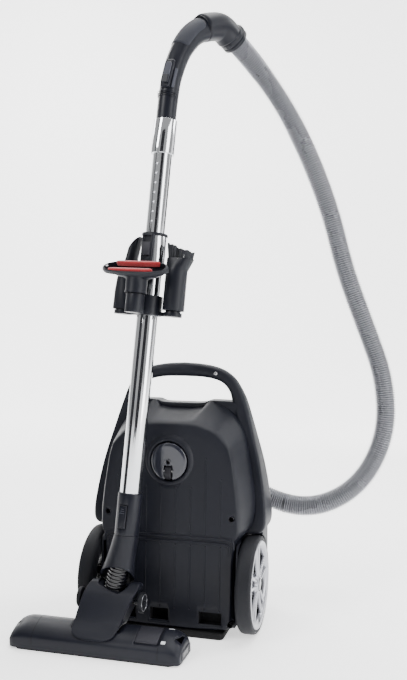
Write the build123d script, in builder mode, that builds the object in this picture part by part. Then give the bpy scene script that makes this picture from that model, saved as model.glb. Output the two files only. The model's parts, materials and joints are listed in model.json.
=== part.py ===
"""Canister vacuum cleaner, parked upright on its rear end with its wand hooked on.

Millimetres.  +Z is up, +X is to the right of someone who looks at the underside,
and +Y runs from the underside to the top cover with the lid.  The origin is on the
floor, on the canister's centre plane, in the plane of the castor's face.
"""
import os
from math import atan2, cos, hypot, pi, radians, sin, tan

from build123d import *

# ---------------------------------------------------------------- driving sizes
WALL = 3.5                # thickness of the moulded shells
GAP = 0.4                 # space left between neighbouring pieces
RUN = 0.05                # radial clearance of a running fit

# canister
FOOT_TOP = 11.6
PANEL_FOOT_Y = -16.0      # the underside leans back from here ...
PANEL_LEAN = 0.055        # ... by this much per millimetre of height
SEAM_Y = 38.0             # seam between the base and the side frame at SEAM_Z
SEAM_Z = 160.0
SEAM_LEAN = 0.19
FRAME_BACK = 112.0        # back plane of the side frame
BACK_Y = 190.0            # flat back of the upper housing
HANDLE_FRONT = 80.0
HANDLE_BACK = 104.0
BODY_TOP = 386.0

# running gear
WHEEL_R = 81.0
WHEEL_Y = 34.0
WHEEL_Z = 82.5
WHEEL_IN = 122.0
WHEEL_OUT = 150.0
RIM_R = 74.0
AXLE_R = 6.0
CASTOR_Z = 291.0
CASTOR_R = 32.0
PIVOT_R = 4.0
ROLLER_R = 12.0
ROLLER_DROP = 19.0
WELL_FLOOR_Y = 26.0

# wand: a line that leans to the right and backwards
WAND_LOW = Vector(-52.6, -65.4, 174.0)
WAND_HIGH = Vector(-7.1, 7.3, 862.0)
LOWER_R = 17.5
UPPER_R = 16.0
TUBE_WALL = 1.0
COLLAR_R = 20.5
BELL_R = 19.5

# floor head
HEAD_X = -86.0
HEAD_W = 290.0
HEAD_FRONT = -136.0
HEAD_BACK = -68.0
HINGE_Y = -100.0
HINGE_Z = 22.0

# hose
HOSE_D = 38.0
PORT_Z = 266.0
CUFF_R = 23.5

os.makedirs("parts", exist_ok=True)


# ---------------------------------------------------------------- helpers
def keep(builder, name):
    """Label a finished piece and write it."""
    builder.part.label = name
    export_step(builder.part, f"parts/{name}.step")


def upright(y):
    """Plane across the canister at depth y: local x is +X, local y is +Z, normal is -Y."""
    return Plane.XZ.offset(-y)


def leaning(y_at_floor, lean):
    """Plane like upright, leaning back by lean for each millimetre of height."""
    return Plane(origin=(0, y_at_floor, 0), x_dir=(1, 0, 0), z_dir=(0, -1, lean))


def mirrored(right_side):
    """Closed outline, symmetric about the centre plane, from its right-hand points."""
    return right_side + [(-x, z) for x, z in reversed(right_side)]


def tilted(right_side, lean):
    """Right-hand outline given by true heights, closed, for a plane with this lean."""
    return mirrored([(x, z * hypot(1, lean)) for x, z in right_side])


def shrunk(right_side, by):
    """Right-hand outline moved inwards by a wall's thickness."""
    top = max(z for _, z in right_side)
    bottom = min(z for _, z in right_side)
    middle = (top + bottom) / 2
    reach = max(x for x, _ in right_side)
    narrow = 1 - by / reach
    low = 1 - 2 * by / (top - bottom)
    return [(x * narrow, middle + (z - middle) * low) for x, z in right_side]


def panel(plane, points):
    """Flat face bounded by straight edges."""
    with BuildSketch(plane) as sketch:
        with BuildLine():
            Polyline(*points, close=True)
        make_face()
    return sketch.sketch


def disc(plane, radius, centre=(0, 0)):
    with BuildSketch(plane) as sketch:
        with Locations(centre):
            Circle(radius)
    return sketch.sketch


def ring(plane, outer, inner, centre=(0, 0)):
    with BuildSketch(plane) as sketch:
        with Locations(centre):
            Circle(outer)
            Circle(inner, mode=Mode.SUBTRACT)
    return sketch.sketch


def rounded(plane, width, height, radius, centre=(0, 0)):
    with BuildSketch(plane) as sketch:
        with Locations(centre):
            RectangleRounded(width, height, radius)
    return sketch.sketch


def across(x, y, z):
    """Placement of a cylinder that lies along X."""
    return Locations(Location((x, y, z), (0, 90, 0)))


def fillet_radii(points):
    """Largest tangent arcs for a route: 0.45 of the shorter run over tan(half the turn)."""
    radii = []
    for before, here, after in zip(points, points[1:], points[2:]):
        first = Vector(*here) - Vector(*before)
        second = Vector(*after) - Vector(*here)
        half_turn = radians(first.get_angle(second)) / 2
        radii.append(0.45 * min(first.length, second.length) / tan(half_turn))
    return radii


# ---------------------------------------------------------------- wand frame
WAND_DIR = (WAND_HIGH - WAND_LOW).normalized()
WAND_AZIMUTH = radians(-99)      # the side of the tubes that carries the slider
FRONT_HINT = Vector(cos(WAND_AZIMUTH), sin(WAND_AZIMUTH), 0)
WAND_FRONT = (FRONT_HINT - WAND_DIR * FRONT_HINT.dot(WAND_DIR)).normalized()
WAND_SIDE = WAND_DIR.cross(WAND_FRONT)


def wand_point(z, front=0.0, side=0.0):
    """Point beside the wand's axis at height z on that axis."""
    along = (z - WAND_LOW.Z) / WAND_DIR.Z
    return WAND_LOW + WAND_DIR * along + WAND_FRONT * front + WAND_SIDE * side


def wand_plane(z, front=0.0, side=0.0):
    """Plane square to the wand: local x points to its slider side, normal points up it."""
    return Plane(origin=wand_point(z, front, side), x_dir=WAND_FRONT, z_dir=WAND_DIR)


def wand_length(z_from, z_to):
    return (z_to - z_from) / WAND_DIR.Z


# ================================================================ canister shells
PANEL_OUTLINE = [
    (98, 14), (110, 26), (112, 158), (121, 170), (120, 208), (116, 250),
    (107, 312), (93, 329), (76, 345), (50, 353), (40, 355), (30, 356),
]
SEAM_OUTLINE = [
    (112, 12), (117, 24), (117, 160), (134, 177), (140, 210), (133, 258),
    (119, 323), (111, 343), (93, 367), (57, 386), (46, 386), (36, 378),
]
PANEL_PLANE = leaning(PANEL_FOOT_Y, PANEL_LEAN)
SEAM_PLANE = leaning(SEAM_Y - SEAM_LEAN * SEAM_Z, SEAM_LEAN)
RIB_PITCH = 26.0
RIB_XS = [RIB_PITCH * step for step in (-3.5, -2.5, -1.5, -0.5, 0.5, 1.5, 2.5, 3.5)]
SLOTS = [(-75, 39), (-14, 32), (75, 39)]     # centre and width of the parking slots
REEL_X = -54.0
REEL_Z = 82.0
REEL_AXLE_R = 5.0
SLOT_LOW = 24.0
SLOT_HIGH = 44.0
CASE_HOLES = [(x, z) for z in (26, 200) for x in (-109, 109)]


def panel_y(z):
    return PANEL_FOOT_Y + PANEL_LEAN * z


with BuildPart() as base_shell:
    loft([panel(PANEL_PLANE, tilted(PANEL_OUTLINE, PANEL_LEAN)),
          panel(SEAM_PLANE, tilted(SEAM_OUTLINE, SEAM_LEAN))], ruled=True)
    inner_plane = leaning(PANEL_FOOT_Y + WALL, PANEL_LEAN)
    open_plane = leaning(SEAM_Y - SEAM_LEAN * SEAM_Z + 1, SEAM_LEAN)
    loft([panel(inner_plane, tilted(shrunk(PANEL_OUTLINE, WALL), PANEL_LEAN)),
          panel(open_plane, tilted(shrunk(SEAM_OUTLINE, WALL), SEAM_LEAN))],
         ruled=True, mode=Mode.SUBTRACT)
    # double ridge across the panel, and the upright ribs above and below it
    for ridge_z in (158.5, 166.5):
        with Locations((0, panel_y(ridge_z), ridge_z)):
            Box(234, 3.0, 4.5)
    for rib_x in RIB_XS:
        with Locations((rib_x, panel_y(98), 98)):
            Box(3.0, 7.4, 104)
        if abs(rib_x) > CASTOR_R + 8:
            with Locations((rib_x, panel_y(236), 236)):
                Box(3.0, 9.0, 122)
    # castor well: raised rim round a cup whose floor carries the pivot pin
    castor_centre = (0, CASTOR_Z)
    extrude(disc(upright(-3.0), 39, castor_centre), amount=-7)
    extrude(disc(upright(0.0), 37, castor_centre), amount=-WELL_FLOOR_Y)
    extrude(disc(upright(-4.0), CASTOR_R + 1, castor_centre), amount=-26, mode=Mode.SUBTRACT)
    extrude(disc(upright(-2.0), PIVOT_R, castor_centre), amount=-30)
    extrude(disc(upright(-6.0), REEL_AXLE_R, (REEL_X, REEL_Z)), amount=-92)
    for hole_x, hole_z in CASE_HOLES:
        extrude(disc(upright(-30), 4.2, (hole_x, hole_z)), amount=-80, mode=Mode.SUBTRACT)
    for slot_x, slot_w in SLOTS:
        with Locations((slot_x, -12, (SLOT_LOW + SLOT_HIGH) / 2)):
            Box(slot_w, 20, SLOT_HIGH - SLOT_LOW, mode=Mode.SUBTRACT)
keep(base_shell, "base_shell")

with BuildPart() as stand_foot:
    extrude(rounded(Plane.XY, 196, 166, 8, (0, 65)), amount=FOOT_TOP)
    chamfer(stand_foot.edges().group_by(Axis.Z)[0], 1.5)
    extrude(rounded(Plane.XY.offset(4), 150, 120, 6, (0, 65)), amount=FOOT_TOP, mode=Mode.SUBTRACT)
keep(stand_foot, "stand_foot")

# Side frame: the band round the shell's edge that rises over the wheels into the handle.
FRAME_OUTER = [
    (112, 12), (117, 24), (117, 166), (150, 167.5), (157, 177), (157, 200), (152, 236),
    (144, 279), (132, 322), (114, 385), (105, 408), (93, 428), (69, 444), (35, 451),
]
FRAME_INNER = [
    (108, 16), (113, 27), (113, 168), (131, 180), (137, 210), (130, 258),
    (116, 323), (107, 343), (89, 366), (56, 380), (47, 380), (37, 373),
]
HANDLE_GAP = [(36, 378), (46, 386), (88, 387), (86, 399), (79, 411), (68, 421), (48, 427)]
HANDLE_SCREW_X = 60.0
HANDLE_SCREW_Z = 434.0


def side_profile(points):
    """Flat face on the centre plane, from points given as (y, z)."""
    return panel(Plane.YZ, points)


with BuildPart() as side_frame:
    extrude(panel(upright(0), mirrored(FRAME_OUTER)), amount=-FRAME_BACK)
    extrude(panel(upright(-1), mirrored(FRAME_INNER)), amount=-FRAME_BACK - 2, mode=Mode.SUBTRACT)
    extrude(panel(upright(-1), mirrored(HANDLE_GAP)), amount=-FRAME_BACK - 2, mode=Mode.SUBTRACT)
    seam_floor = SEAM_Y - SEAM_LEAN * SEAM_Z
    seam_top = SEAM_Y + SEAM_LEAN * (BODY_TOP - SEAM_Z)
    in_front = [(-60, 0), (seam_floor, 0), (seam_top, BODY_TOP), (HANDLE_FRONT, 400),
                (HANDLE_FRONT, 470), (-60, 470)]
    behind = [(FRAME_BACK + 5, BODY_TOP), (FRAME_BACK, BODY_TOP), (HANDLE_BACK, 410),
              (HANDLE_BACK, 470), (FRAME_BACK + 5, 470)]
    for cut in (in_front, behind):
        extrude(side_profile(cut), amount=200, both=True, mode=Mode.SUBTRACT)
    for sign in (-1, 1):
        with across(sign * 115, WHEEL_Y, WHEEL_Z):
            Cylinder(AXLE_R, 12, mode=Mode.SUBTRACT)
        extrude(disc(upright(HANDLE_FRONT - 1), 3, (sign * HANDLE_SCREW_X, HANDLE_SCREW_Z)),
                amount=-13, mode=Mode.SUBTRACT)
keep(side_frame, "side_frame")

with BuildPart() as case_screws:
    for hole_x, hole_z in CASE_HOLES:
        head_y = panel_y(hole_z) + 5
        extrude(disc(upright(head_y), 3.6, (hole_x, hole_z)), amount=-3)
        extrude(disc(upright(head_y + 3), 1.8, (hole_x, hole_z)), amount=-14)
    for sign in (-1, 1):
        extrude(disc(upright(HANDLE_FRONT + 1), 3, (sign * HANDLE_SCREW_X, HANDLE_SCREW_Z)),
                amount=-11)
keep(case_screws, "case_screws")

# Upper housing: the half with the lid, the controls and the hose inlet.
HOUSING_FRONT = [
    (111, 13), (116, 25), (116, 165), (146, 172), (152, 182), (152, 205), (144, 261),
    (127, 323), (112, 352), (94, 374), (57, 386), (46, 386), (36, 378),
]
HOUSING_BACK = [
    (84, 22), (96, 36), (100, 150), (106, 166), (114, 182), (114, 205), (109, 258),
    (97, 316), (84, 340), (66, 356), (46, 362), (38, 362), (30, 361),
]
LID_W = 176.0
LID_LOW = 62.0
LID_HIGH = 154.0
LID_AXIS_Y = BACK_Y + 5.5
LID_FACE_Y = 200.0
LID_PIN_R = 2.0
PEDAL_X = 79.0
PEDAL_Z = 189.0
PEDAL_TRAVEL = 4.0
KNOB_Z = 189.0
LATCH_Z = 163.0
EXHAUST_Z = 39.5
PLUG_R = 22.0
GROMMET_X = -84.0
GROMMET_Z = 40.0

with BuildPart() as upper_housing:
    loft([panel(upright(FRAME_BACK), mirrored(HOUSING_FRONT)),
          panel(upright(BACK_Y), mirrored(HOUSING_BACK))], ruled=True)
    loft([panel(upright(FRAME_BACK - 1), mirrored(shrunk(HOUSING_FRONT, WALL))),
          panel(upright(BACK_Y - WALL), mirrored(shrunk(HOUSING_BACK, WALL)))],
         ruled=True, mode=Mode.SUBTRACT)
    through = -WALL - 4
    back = upright(BACK_Y - WALL - 2)
    extrude(rounded(back, 160, 78, 6, (0, 107)), amount=through, mode=Mode.SUBTRACT)
    extrude(rounded(back, 128, 18, 3, (0, EXHAUST_Z)), amount=through, mode=Mode.SUBTRACT)
    extrude(disc(back, PLUG_R, (0, PORT_Z)), amount=through, mode=Mode.SUBTRACT)
    extrude(disc(back, 4 + RUN, (0, KNOB_Z)), amount=through, mode=Mode.SUBTRACT)
    extrude(rounded(back, 21, 9, 2, (0, LATCH_Z)), amount=through, mode=Mode.SUBTRACT)
    extrude(disc(back, 6, (GROMMET_X, GROMMET_Z)), amount=through, mode=Mode.SUBTRACT)
    for sign in (-1, 1):
        extrude(rounded(back, 29, 23, 3, (sign * PEDAL_X, PEDAL_Z)),
                amount=through, mode=Mode.SUBTRACT)
        # ears that hold the lid's hinge pin
        with Locations((sign * (LID_W / 2 + 4), BACK_Y + 5, LID_LOW)):
            Box(6, 10, 10)
    with across(0, LID_AXIS_Y, LID_LOW):
        Cylinder(LID_PIN_R, LID_W + 10)
keep(upper_housing, "upper_housing")

with BuildPart() as lid:
    extrude(rounded(upright(BACK_Y + GAP), LID_W, LID_HIGH - LID_LOW, 4,
                    (0, (LID_HIGH + LID_LOW) / 2)), amount=BACK_Y + GAP - LID_FACE_Y)
    fillet(lid.edges().group_by(Axis.Y)[-1], 2.5)
    extrude(rounded(upright(BACK_Y), LID_W - 10, 76, 3, (0, 108)), amount=-6, mode=Mode.SUBTRACT)
    with across(0, LID_AXIS_Y, LID_LOW):
        Cylinder(4.6, LID_W)
        Cylinder(LID_PIN_R + RUN, LID_W + 2, mode=Mode.SUBTRACT)
keep(lid, "lid")

with BuildPart() as lid_latch:
    extrude(rounded(upright(BACK_Y + 4), 30, 11, 3, (0, LATCH_Z)), amount=-6)
    extrude(rounded(upright(BACK_Y - 12), 20, 8, 2, (0, LATCH_Z)), amount=-16)
keep(lid_latch, "lid_latch")

for name, sign in (("power_button", 1), ("rewind_button", -1)):
    with BuildPart() as pedal:
        extrude(rounded(upright(BACK_Y + 5), 40, 34, 6, (sign * PEDAL_X, PEDAL_Z)), amount=-8)
        fillet(pedal.edges().group_by(Axis.Y)[-1], 2)
        extrude(rounded(upright(BACK_Y - 14), 28, 22, 3, (sign * PEDAL_X, PEDAL_Z)), amount=-19)
    keep(pedal, name)

with BuildPart() as suction_knob:
    extrude(disc(upright(BACK_Y + GAP), 17, (0, KNOB_Z)), amount=-13)
    fillet(suction_knob.edges().group_by(Axis.Y)[-1], 2.5)
    with Locations((0, BACK_Y + 14, KNOB_Z + 5)):
        Box(4, 5, 22)
    extrude(disc(upright(BACK_Y - 10), 4, (0, KNOB_Z)), amount=-10.4)
keep(suction_knob, "suction_knob")

with BuildPart() as cord_outlet:
    extrude(disc(upright(BACK_Y), 8.5, (GROMMET_X, GROMMET_Z)), amount=-3)
    extrude(disc(upright(BACK_Y - 8), 6, (GROMMET_X, GROMMET_Z)), amount=-8)
    extrude(disc(upright(BACK_Y - 9), 4, (GROMMET_X, GROMMET_Z)), amount=-14, mode=Mode.SUBTRACT)
keep(cord_outlet, "cord_outlet")

with BuildPart() as exhaust_cover:
    extrude(rounded(upright(BACK_Y + GAP), 136, 26, 4, (0, EXHAUST_Z)), amount=-4)
    extrude(rounded(upright(BACK_Y - 5), 126, 16, 3, (0, EXHAUST_Z)), amount=-5.4)
    for step in range(-5, 6):
        extrude(rounded(upright(BACK_Y - 6), 6, 13, 2, (step * 11, EXHAUST_Z)),
                amount=-14, mode=Mode.SUBTRACT)
keep(exhaust_cover, "exhaust_cover")

# ================================================================ inside the canister
MOTOR_X = 52.0
MOTOR_Y = 56.0
MOTOR_R = 46.0
MOTOR_LOW = 24.0
MOTOR_HIGH = 128.0


def level(z):
    return Plane.XY.offset(z)


motor_axis = (MOTOR_X, MOTOR_Y)
with BuildPart() as motor_housing:
    extrude(disc(level(MOTOR_LOW), MOTOR_R, motor_axis), amount=MOTOR_HIGH - MOTOR_LOW)
    extrude(disc(level(MOTOR_LOW + 6), MOTOR_R - 4, motor_axis), amount=120, mode=Mode.SUBTRACT)
    extrude(disc(level(MOTOR_LOW - 1), 4 + RUN, motor_axis), amount=10, mode=Mode.SUBTRACT)
keep(motor_housing, "motor_housing")

with BuildPart() as fan_rotor:
    extrude(disc(level(MOTOR_LOW + 1), 4, motor_axis), amount=90)
    extrude(disc(level(MOTOR_LOW + 16), 24, motor_axis), amount=54)
    extrude(disc(level(MOTOR_LOW + 80), 36, motor_axis), amount=3)
    with Locations((MOTOR_X, MOTOR_Y, MOTOR_LOW + 88)):
        with PolarLocations(22, 9):
            Box(24, 1.6, 12)
    extrude(disc(level(MOTOR_LOW + 93), 36, motor_axis), amount=2)
keep(fan_rotor, "fan_rotor")

with BuildPart() as cord_reel:
    extrude(disc(upright(14), 46, (REEL_X, REEL_Z)), amount=-3)
    extrude(disc(upright(17), 24, (REEL_X, REEL_Z)), amount=-56)
    extrude(disc(upright(73), 46, (REEL_X, REEL_Z)), amount=-3)
    extrude(disc(upright(13), REEL_AXLE_R + RUN, (REEL_X, REEL_Z)), amount=-66, mode=Mode.SUBTRACT)
keep(cord_reel, "cord_reel")

with BuildPart() as dust_bag:
    extrude(rounded(upright(120), 150, 74, 16, (0, 107)), amount=-62)
    fillet(dust_bag.edges().group_by(Axis.Y)[0], 12)
    fillet(dust_bag.edges().group_by(Axis.Y)[-1], 12)
keep(dust_bag, "dust_bag")

with BuildPart() as intake_duct:
    with BuildLine():
        FilletPolyline((0, 151.5, PORT_Z), (0, 122, PORT_Z), (0, 122, 222), (0, 150, 184),
                       (0, 150, 147.5), radius=[24, 24, 24])
    with BuildSketch(upright(151.5)):
        with Locations((0, PORT_Z)):
            Circle(21)
            Circle(19, mode=Mode.SUBTRACT)
    sweep()
keep(intake_duct, "intake_duct")

with BuildPart() as motor_filter:
    extrude(rounded(upright(107), 84, 66, 4, (MOTOR_X, 92)), amount=-6)
keep(motor_filter, "motor_filter")

with BuildPart() as exhaust_filter:
    extrude(rounded(upright(158), 120, 15, 3, (0, EXHAUST_Z)), amount=-25)
keep(exhaust_filter, "exhaust_filter")

# ================================================================ running gear
HUB_R = 12.0
SPOKES = 5
SPOKE_SPREAD = 7.5

for name, sign in (("left", -1), ("right", 1)):
    wheel_plane = Plane(origin=(sign * WHEEL_IN, WHEEL_Y, WHEEL_Z), x_dir=(0, 1, 0),
                        z_dir=(sign, 0, 0))
    tyre_width = WHEEL_OUT - WHEEL_IN
    with BuildPart() as tyre:
        extrude(ring(wheel_plane, WHEEL_R, RIM_R - 4), amount=tyre_width)
        outer_edges = tyre.edges().filter_by(GeomType.CIRCLE).sort_by(SortBy.RADIUS)[-2:]
        fillet(outer_edges, 5)
        extrude(disc(wheel_plane, RIM_R - 3), amount=4)
        extrude(disc(wheel_plane, HUB_R), amount=16)
        extrude(disc(wheel_plane, AXLE_R + RUN), amount=18, mode=Mode.SUBTRACT)
    keep(tyre, f"tyre_{name}")

    with BuildPart() as hubcap:
        face = wheel_plane.offset(tyre_width - 8)
        extrude(ring(face, RIM_R - 4, RIM_R - 11), amount=8)
        extrude(disc(face, HUB_R + 6), amount=9)
        for side in (-1, 1):
            with BuildSketch(face):
                with PolarLocations(40, SPOKES, start_angle=90 + side * SPOKE_SPREAD):
                    Rectangle(56, 6)
            extrude(amount=6)
        extrude(disc(face.offset(-1), AXLE_R + 1), amount=7, mode=Mode.SUBTRACT)
    keep(hubcap, f"hubcap_{name}")

with BuildPart() as wheel_axles:
    for sign in (-1, 1):
        with across(sign * 123.5, WHEEL_Y, WHEEL_Z):
            Cylinder(AXLE_R, 39)
        with across(sign * 108, WHEEL_Y, WHEEL_Z):
            Cylinder(AXLE_R + 5, 8)
keep(wheel_axles, "wheel_axles")

CASTOR_FACE = -4.0
ROLLER_Z = CASTOR_Z - ROLLER_DROP
with BuildPart() as castor_turret:
    extrude(disc(upright(CASTOR_FACE), CASTOR_R, castor_centre), amount=-24)
    fillet(castor_turret.edges().group_by(Axis.Y)[0], 3)
    extrude(disc(upright(-10), PIVOT_R + RUN, castor_centre), amount=-40, mode=Mode.SUBTRACT)
    with Locations((0, 0, ROLLER_Z)):
        Box(13, 28, 2 * ROLLER_R + 2, mode=Mode.SUBTRACT)
    with across(0, 1, ROLLER_Z):
        Cylinder(2, 20)
keep(castor_turret, "castor_turret")

with BuildPart() as castor_roller:
    with across(0, 1, ROLLER_Z):
        Cylinder(ROLLER_R, 11)
        fillet(castor_roller.edges(), 2)
        Cylinder(2 + RUN, 12, mode=Mode.SUBTRACT)
keep(castor_roller, "castor_roller")

# ================================================================ hose connector
ELBOW_R = 25.0
HOSE_R = HOSE_D / 2
COLLAR_BACK = 204.0
ELBOW_BORE = 18.0
ELBOW_LENGTH = 65.0
ELBOW_TURN = radians(36)        # the elbow points to the right and down by this much
ELBOW_DIR = Vector(cos(ELBOW_TURN), 0, -sin(ELBOW_TURN))
ELBOW_CORNER = Vector(0, 236, PORT_Z)
ELBOW_END = ELBOW_CORNER + ELBOW_DIR * ELBOW_LENGTH
port_centre = (0, PORT_Z)
BUTTON_Y = 214.0

with BuildPart() as hose_inlet:
    extrude(ring(upright(BACK_Y), 36, PLUG_R, (0, PORT_Z)), amount=-12)
    fillet(hose_inlet.edges().group_by(Axis.Y)[-1].sort_by(SortBy.RADIUS)[-1:], 4)
keep(hose_inlet, "hose_inlet")

with BuildPart() as hose_elbow:
    with BuildLine():
        FilletPolyline((0, COLLAR_BACK, PORT_Z), ELBOW_CORNER, ELBOW_END, radius=31)
    with BuildSketch(upright(COLLAR_BACK)):
        with Locations((0, PORT_Z)):
            Circle(ELBOW_R)
            Circle(ELBOW_BORE, mode=Mode.SUBTRACT)
    sweep()
    extrude(ring(upright(152), PLUG_R, ELBOW_BORE, port_centre), amount=152 - COLLAR_BACK)
    extrude(ring(upright(COLLAR_BACK - 1.5), 31, ELBOW_BORE + 1, port_centre), amount=-20)
    for sign in (-1, 1):
        with Locations((sign * 32, BUTTON_Y, PORT_Z)):
            Box(11, 13, 15, mode=Mode.SUBTRACT)
keep(hose_elbow, "hose_elbow")

for name, sign in (("left", -1), ("right", 1)):
    with BuildPart() as release_button:
        with Locations((sign * 30.9, BUTTON_Y, PORT_Z)):
            Box(5, 12, 14)
        fillet(release_button.edges().filter_by(Axis.X), 2)
    keep(release_button, f"release_button_{name}")

ELBOW_MOUTH = Plane(origin=ELBOW_END, x_dir=(0, 1, 0), z_dir=ELBOW_DIR)
with BuildPart() as hose_end_cuff:
    extrude(ring(ELBOW_MOUTH.offset(GAP), CUFF_R, HOSE_R + RUN), amount=22)
    fillet(hose_end_cuff.edges().filter_by(GeomType.CIRCLE).sort_by(SortBy.RADIUS)[-2:], 2)
keep(hose_end_cuff, "hose_end_cuff")

# ================================================================ wand
COLLAR_LOW = 606.0
COLLAR_TOP = 672.0
SOCKET_LOW = 180.5
SOCKET_TOP = 247.0
TUBE_SEAT = 232.0
BELL_LOW = 805.0
UPPER_LOW = 358.0
SLIDER_Z = 646.0

with BuildPart() as lower_tube:
    extrude(ring(wand_plane(TUBE_SEAT), LOWER_R, LOWER_R - TUBE_WALL),
            amount=wand_length(TUBE_SEAT, COLLAR_TOP - 3))
keep(lower_tube, "lower_tube")

with BuildPart() as telescope_collar:
    extrude(ring(wand_plane(COLLAR_LOW), COLLAR_R, LOWER_R),
            amount=wand_length(COLLAR_LOW, COLLAR_TOP - 3))
    extrude(ring(wand_plane(COLLAR_TOP - 3), COLLAR_R, UPPER_R + RUN),
            amount=wand_length(COLLAR_TOP - 3, COLLAR_TOP))
keep(telescope_collar, "telescope_collar")

with BuildPart() as slider_housing:
    extrude(rounded(wand_plane(622, front=17), 16, 21, 3), amount=wand_length(622, 669))
    extrude(disc(wand_plane(621), COLLAR_R), amount=60, mode=Mode.SUBTRACT)
    extrude(rounded(wand_plane(SLIDER_Z - 14, front=27), 11, 14.8, 1.5),
            amount=34, mode=Mode.SUBTRACT)
keep(slider_housing, "slider_housing")

with BuildPart() as telescope_slider:
    extrude(rounded(wand_plane(SLIDER_Z - 13, front=24.5), 6, 14, 1.5), amount=22)
keep(telescope_slider, "telescope_slider")

with BuildPart() as upper_tube:
    extrude(ring(wand_plane(UPPER_LOW), UPPER_R, UPPER_R - TUBE_WALL),
            amount=wand_length(UPPER_LOW, WAND_HIGH.Z))
    extrude(ring(wand_plane(BELL_LOW), BELL_R, UPPER_R - 0.5),
            amount=wand_length(BELL_LOW, WAND_HIGH.Z))
keep(upper_tube, "upper_tube")

with BuildPart() as wand_socket:
    extrude(ring(wand_plane(SOCKET_LOW), 20, 15), amount=wand_length(SOCKET_LOW, TUBE_SEAT))
    extrude(ring(wand_plane(TUBE_SEAT), 20, LOWER_R), amount=wand_length(TUBE_SEAT, SOCKET_TOP))
    extrude(rounded(wand_plane(191, front=21.5), 10, 15, 1.5), amount=wand_length(191, 229),
            mode=Mode.SUBTRACT)
keep(wand_socket, "wand_socket")

with BuildPart() as socket_latch:
    extrude(rounded(wand_plane(192, front=20.6), 3.6, 14, 1.5), amount=wand_length(192, 228))
keep(socket_latch, "socket_latch")

# elbow shell: flares from the socket down and to the left, its mouth cut on a slant
MOUTH = Vector(-72, -62, 100)
ELBOW_AXIS = (MOUTH - wand_point(SOCKET_LOW)).normalized()
mouth_plane = Plane(origin=MOUTH + ELBOW_AXIS * 12, x_dir=(1, 0, 0), z_dir=ELBOW_AXIS)
MOUTH_R = 26.0

with BuildPart() as elbow_shell:
    loft([disc(wand_plane(SOCKET_LOW - GAP), 20), disc(mouth_plane, MOUTH_R)])
    loft([disc(wand_plane(SOCKET_LOW + 1), 15), disc(mouth_plane.offset(1), MOUTH_R - 3)],
         mode=Mode.SUBTRACT)
    extrude(side_profile([(-112, 151.6), (-28, 83.4), (-28, 60), (-112, 60)]), amount=200,
            both=True, mode=Mode.SUBTRACT)
keep(elbow_shell, "elbow_shell")

HOOK_X = -75.0
with BuildPart() as parking_hook:
    hook_profile = [(-35.8, 128), (-35.8, 54), (-22.5, 48.5), (-9.6, 26.2), (-5.3, 28.7),
                    (-19, 52.4), (-30.5, 58), (-30.5, 128)]
    extrude(side_profile(hook_profile).moved(Location((HOOK_X, 0, 0))), amount=6, both=True)
keep(parking_hook, "parking_hook")

# ================================================================ accessories
HOLDER_LOW = 537.0
HOLDER_TOP = 569.0
ARM_TOP = 543.5
PEG_TOP = 580.0
ARM = 46.5
PEG_R = 12.5
TOOL_BORE = 12.9
TOOL_LOWS = {"front": 568.0, "left": 545.0, "right": 547.0}
STUB_TOPS = {"front": 566.5, "left": ARM_TOP, "right": ARM_TOP}
PEG_SPOTS = {"front": (ARM, 0), "left": (0, -ARM), "right": (0, ARM)}

with BuildPart() as accessory_holder:
    extrude(ring(wand_plane(HOLDER_LOW), 23, LOWER_R), amount=wand_length(HOLDER_LOW, HOLDER_TOP))
    for spot, (front, side) in PEG_SPOTS.items():
        spot_low = wand_plane(HOLDER_LOW, front=front, side=side)
        with BuildSketch(wand_plane(HOLDER_LOW, front=front * 0.68, side=side * 0.68)):
            Rectangle(24 if front else 12, 24 if side else 12)
        extrude(amount=wand_length(HOLDER_LOW, ARM_TOP))
        extrude(disc(spot_low, 15), amount=wand_length(HOLDER_LOW, STUB_TOPS[spot]))
        extrude(disc(spot_low, PEG_R), amount=wand_length(HOLDER_LOW, PEG_TOP))
    extrude(disc(wand_plane(HOLDER_LOW - 2), LOWER_R), amount=40, mode=Mode.SUBTRACT)
keep(accessory_holder, "accessory_holder")


def tool_neck(spot, radius, z_top):
    """Annular faces of a tool's neck: where it starts, and how long it is."""
    front, side = PEG_SPOTS[spot]
    low = TOOL_LOWS[spot]
    return ring(wand_plane(low, front=front, side=side), radius, TOOL_BORE), \
        wand_length(low, z_top)


with BuildPart() as crevice_tool:
    neck, neck_length = tool_neck("left", 17, 604)
    extrude(neck, amount=neck_length)
    front, side = PEG_SPOTS["left"]
    outer_low = disc(wand_plane(604, front=front, side=side), 17)
    outer_high = rounded(wand_plane(668, front=front, side=side + 14), 26, 12, 4)
    inner_low = disc(wand_plane(603.5, front=front, side=side), TOOL_BORE)
    inner_high = rounded(wand_plane(669, front=front, side=side + 14), 22, 8, 3)
    loft([outer_low, outer_high])
    loft([inner_low, inner_high], mode=Mode.SUBTRACT)
    slant = Plane(origin=wand_point(664, front=front, side=side + 14), x_dir=WAND_FRONT,
                  z_dir=(WAND_DIR - WAND_SIDE * 0.9).normalized())
    split(bisect_by=slant, keep=Keep.BOTTOM)
keep(crevice_tool, "crevice_tool")

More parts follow.
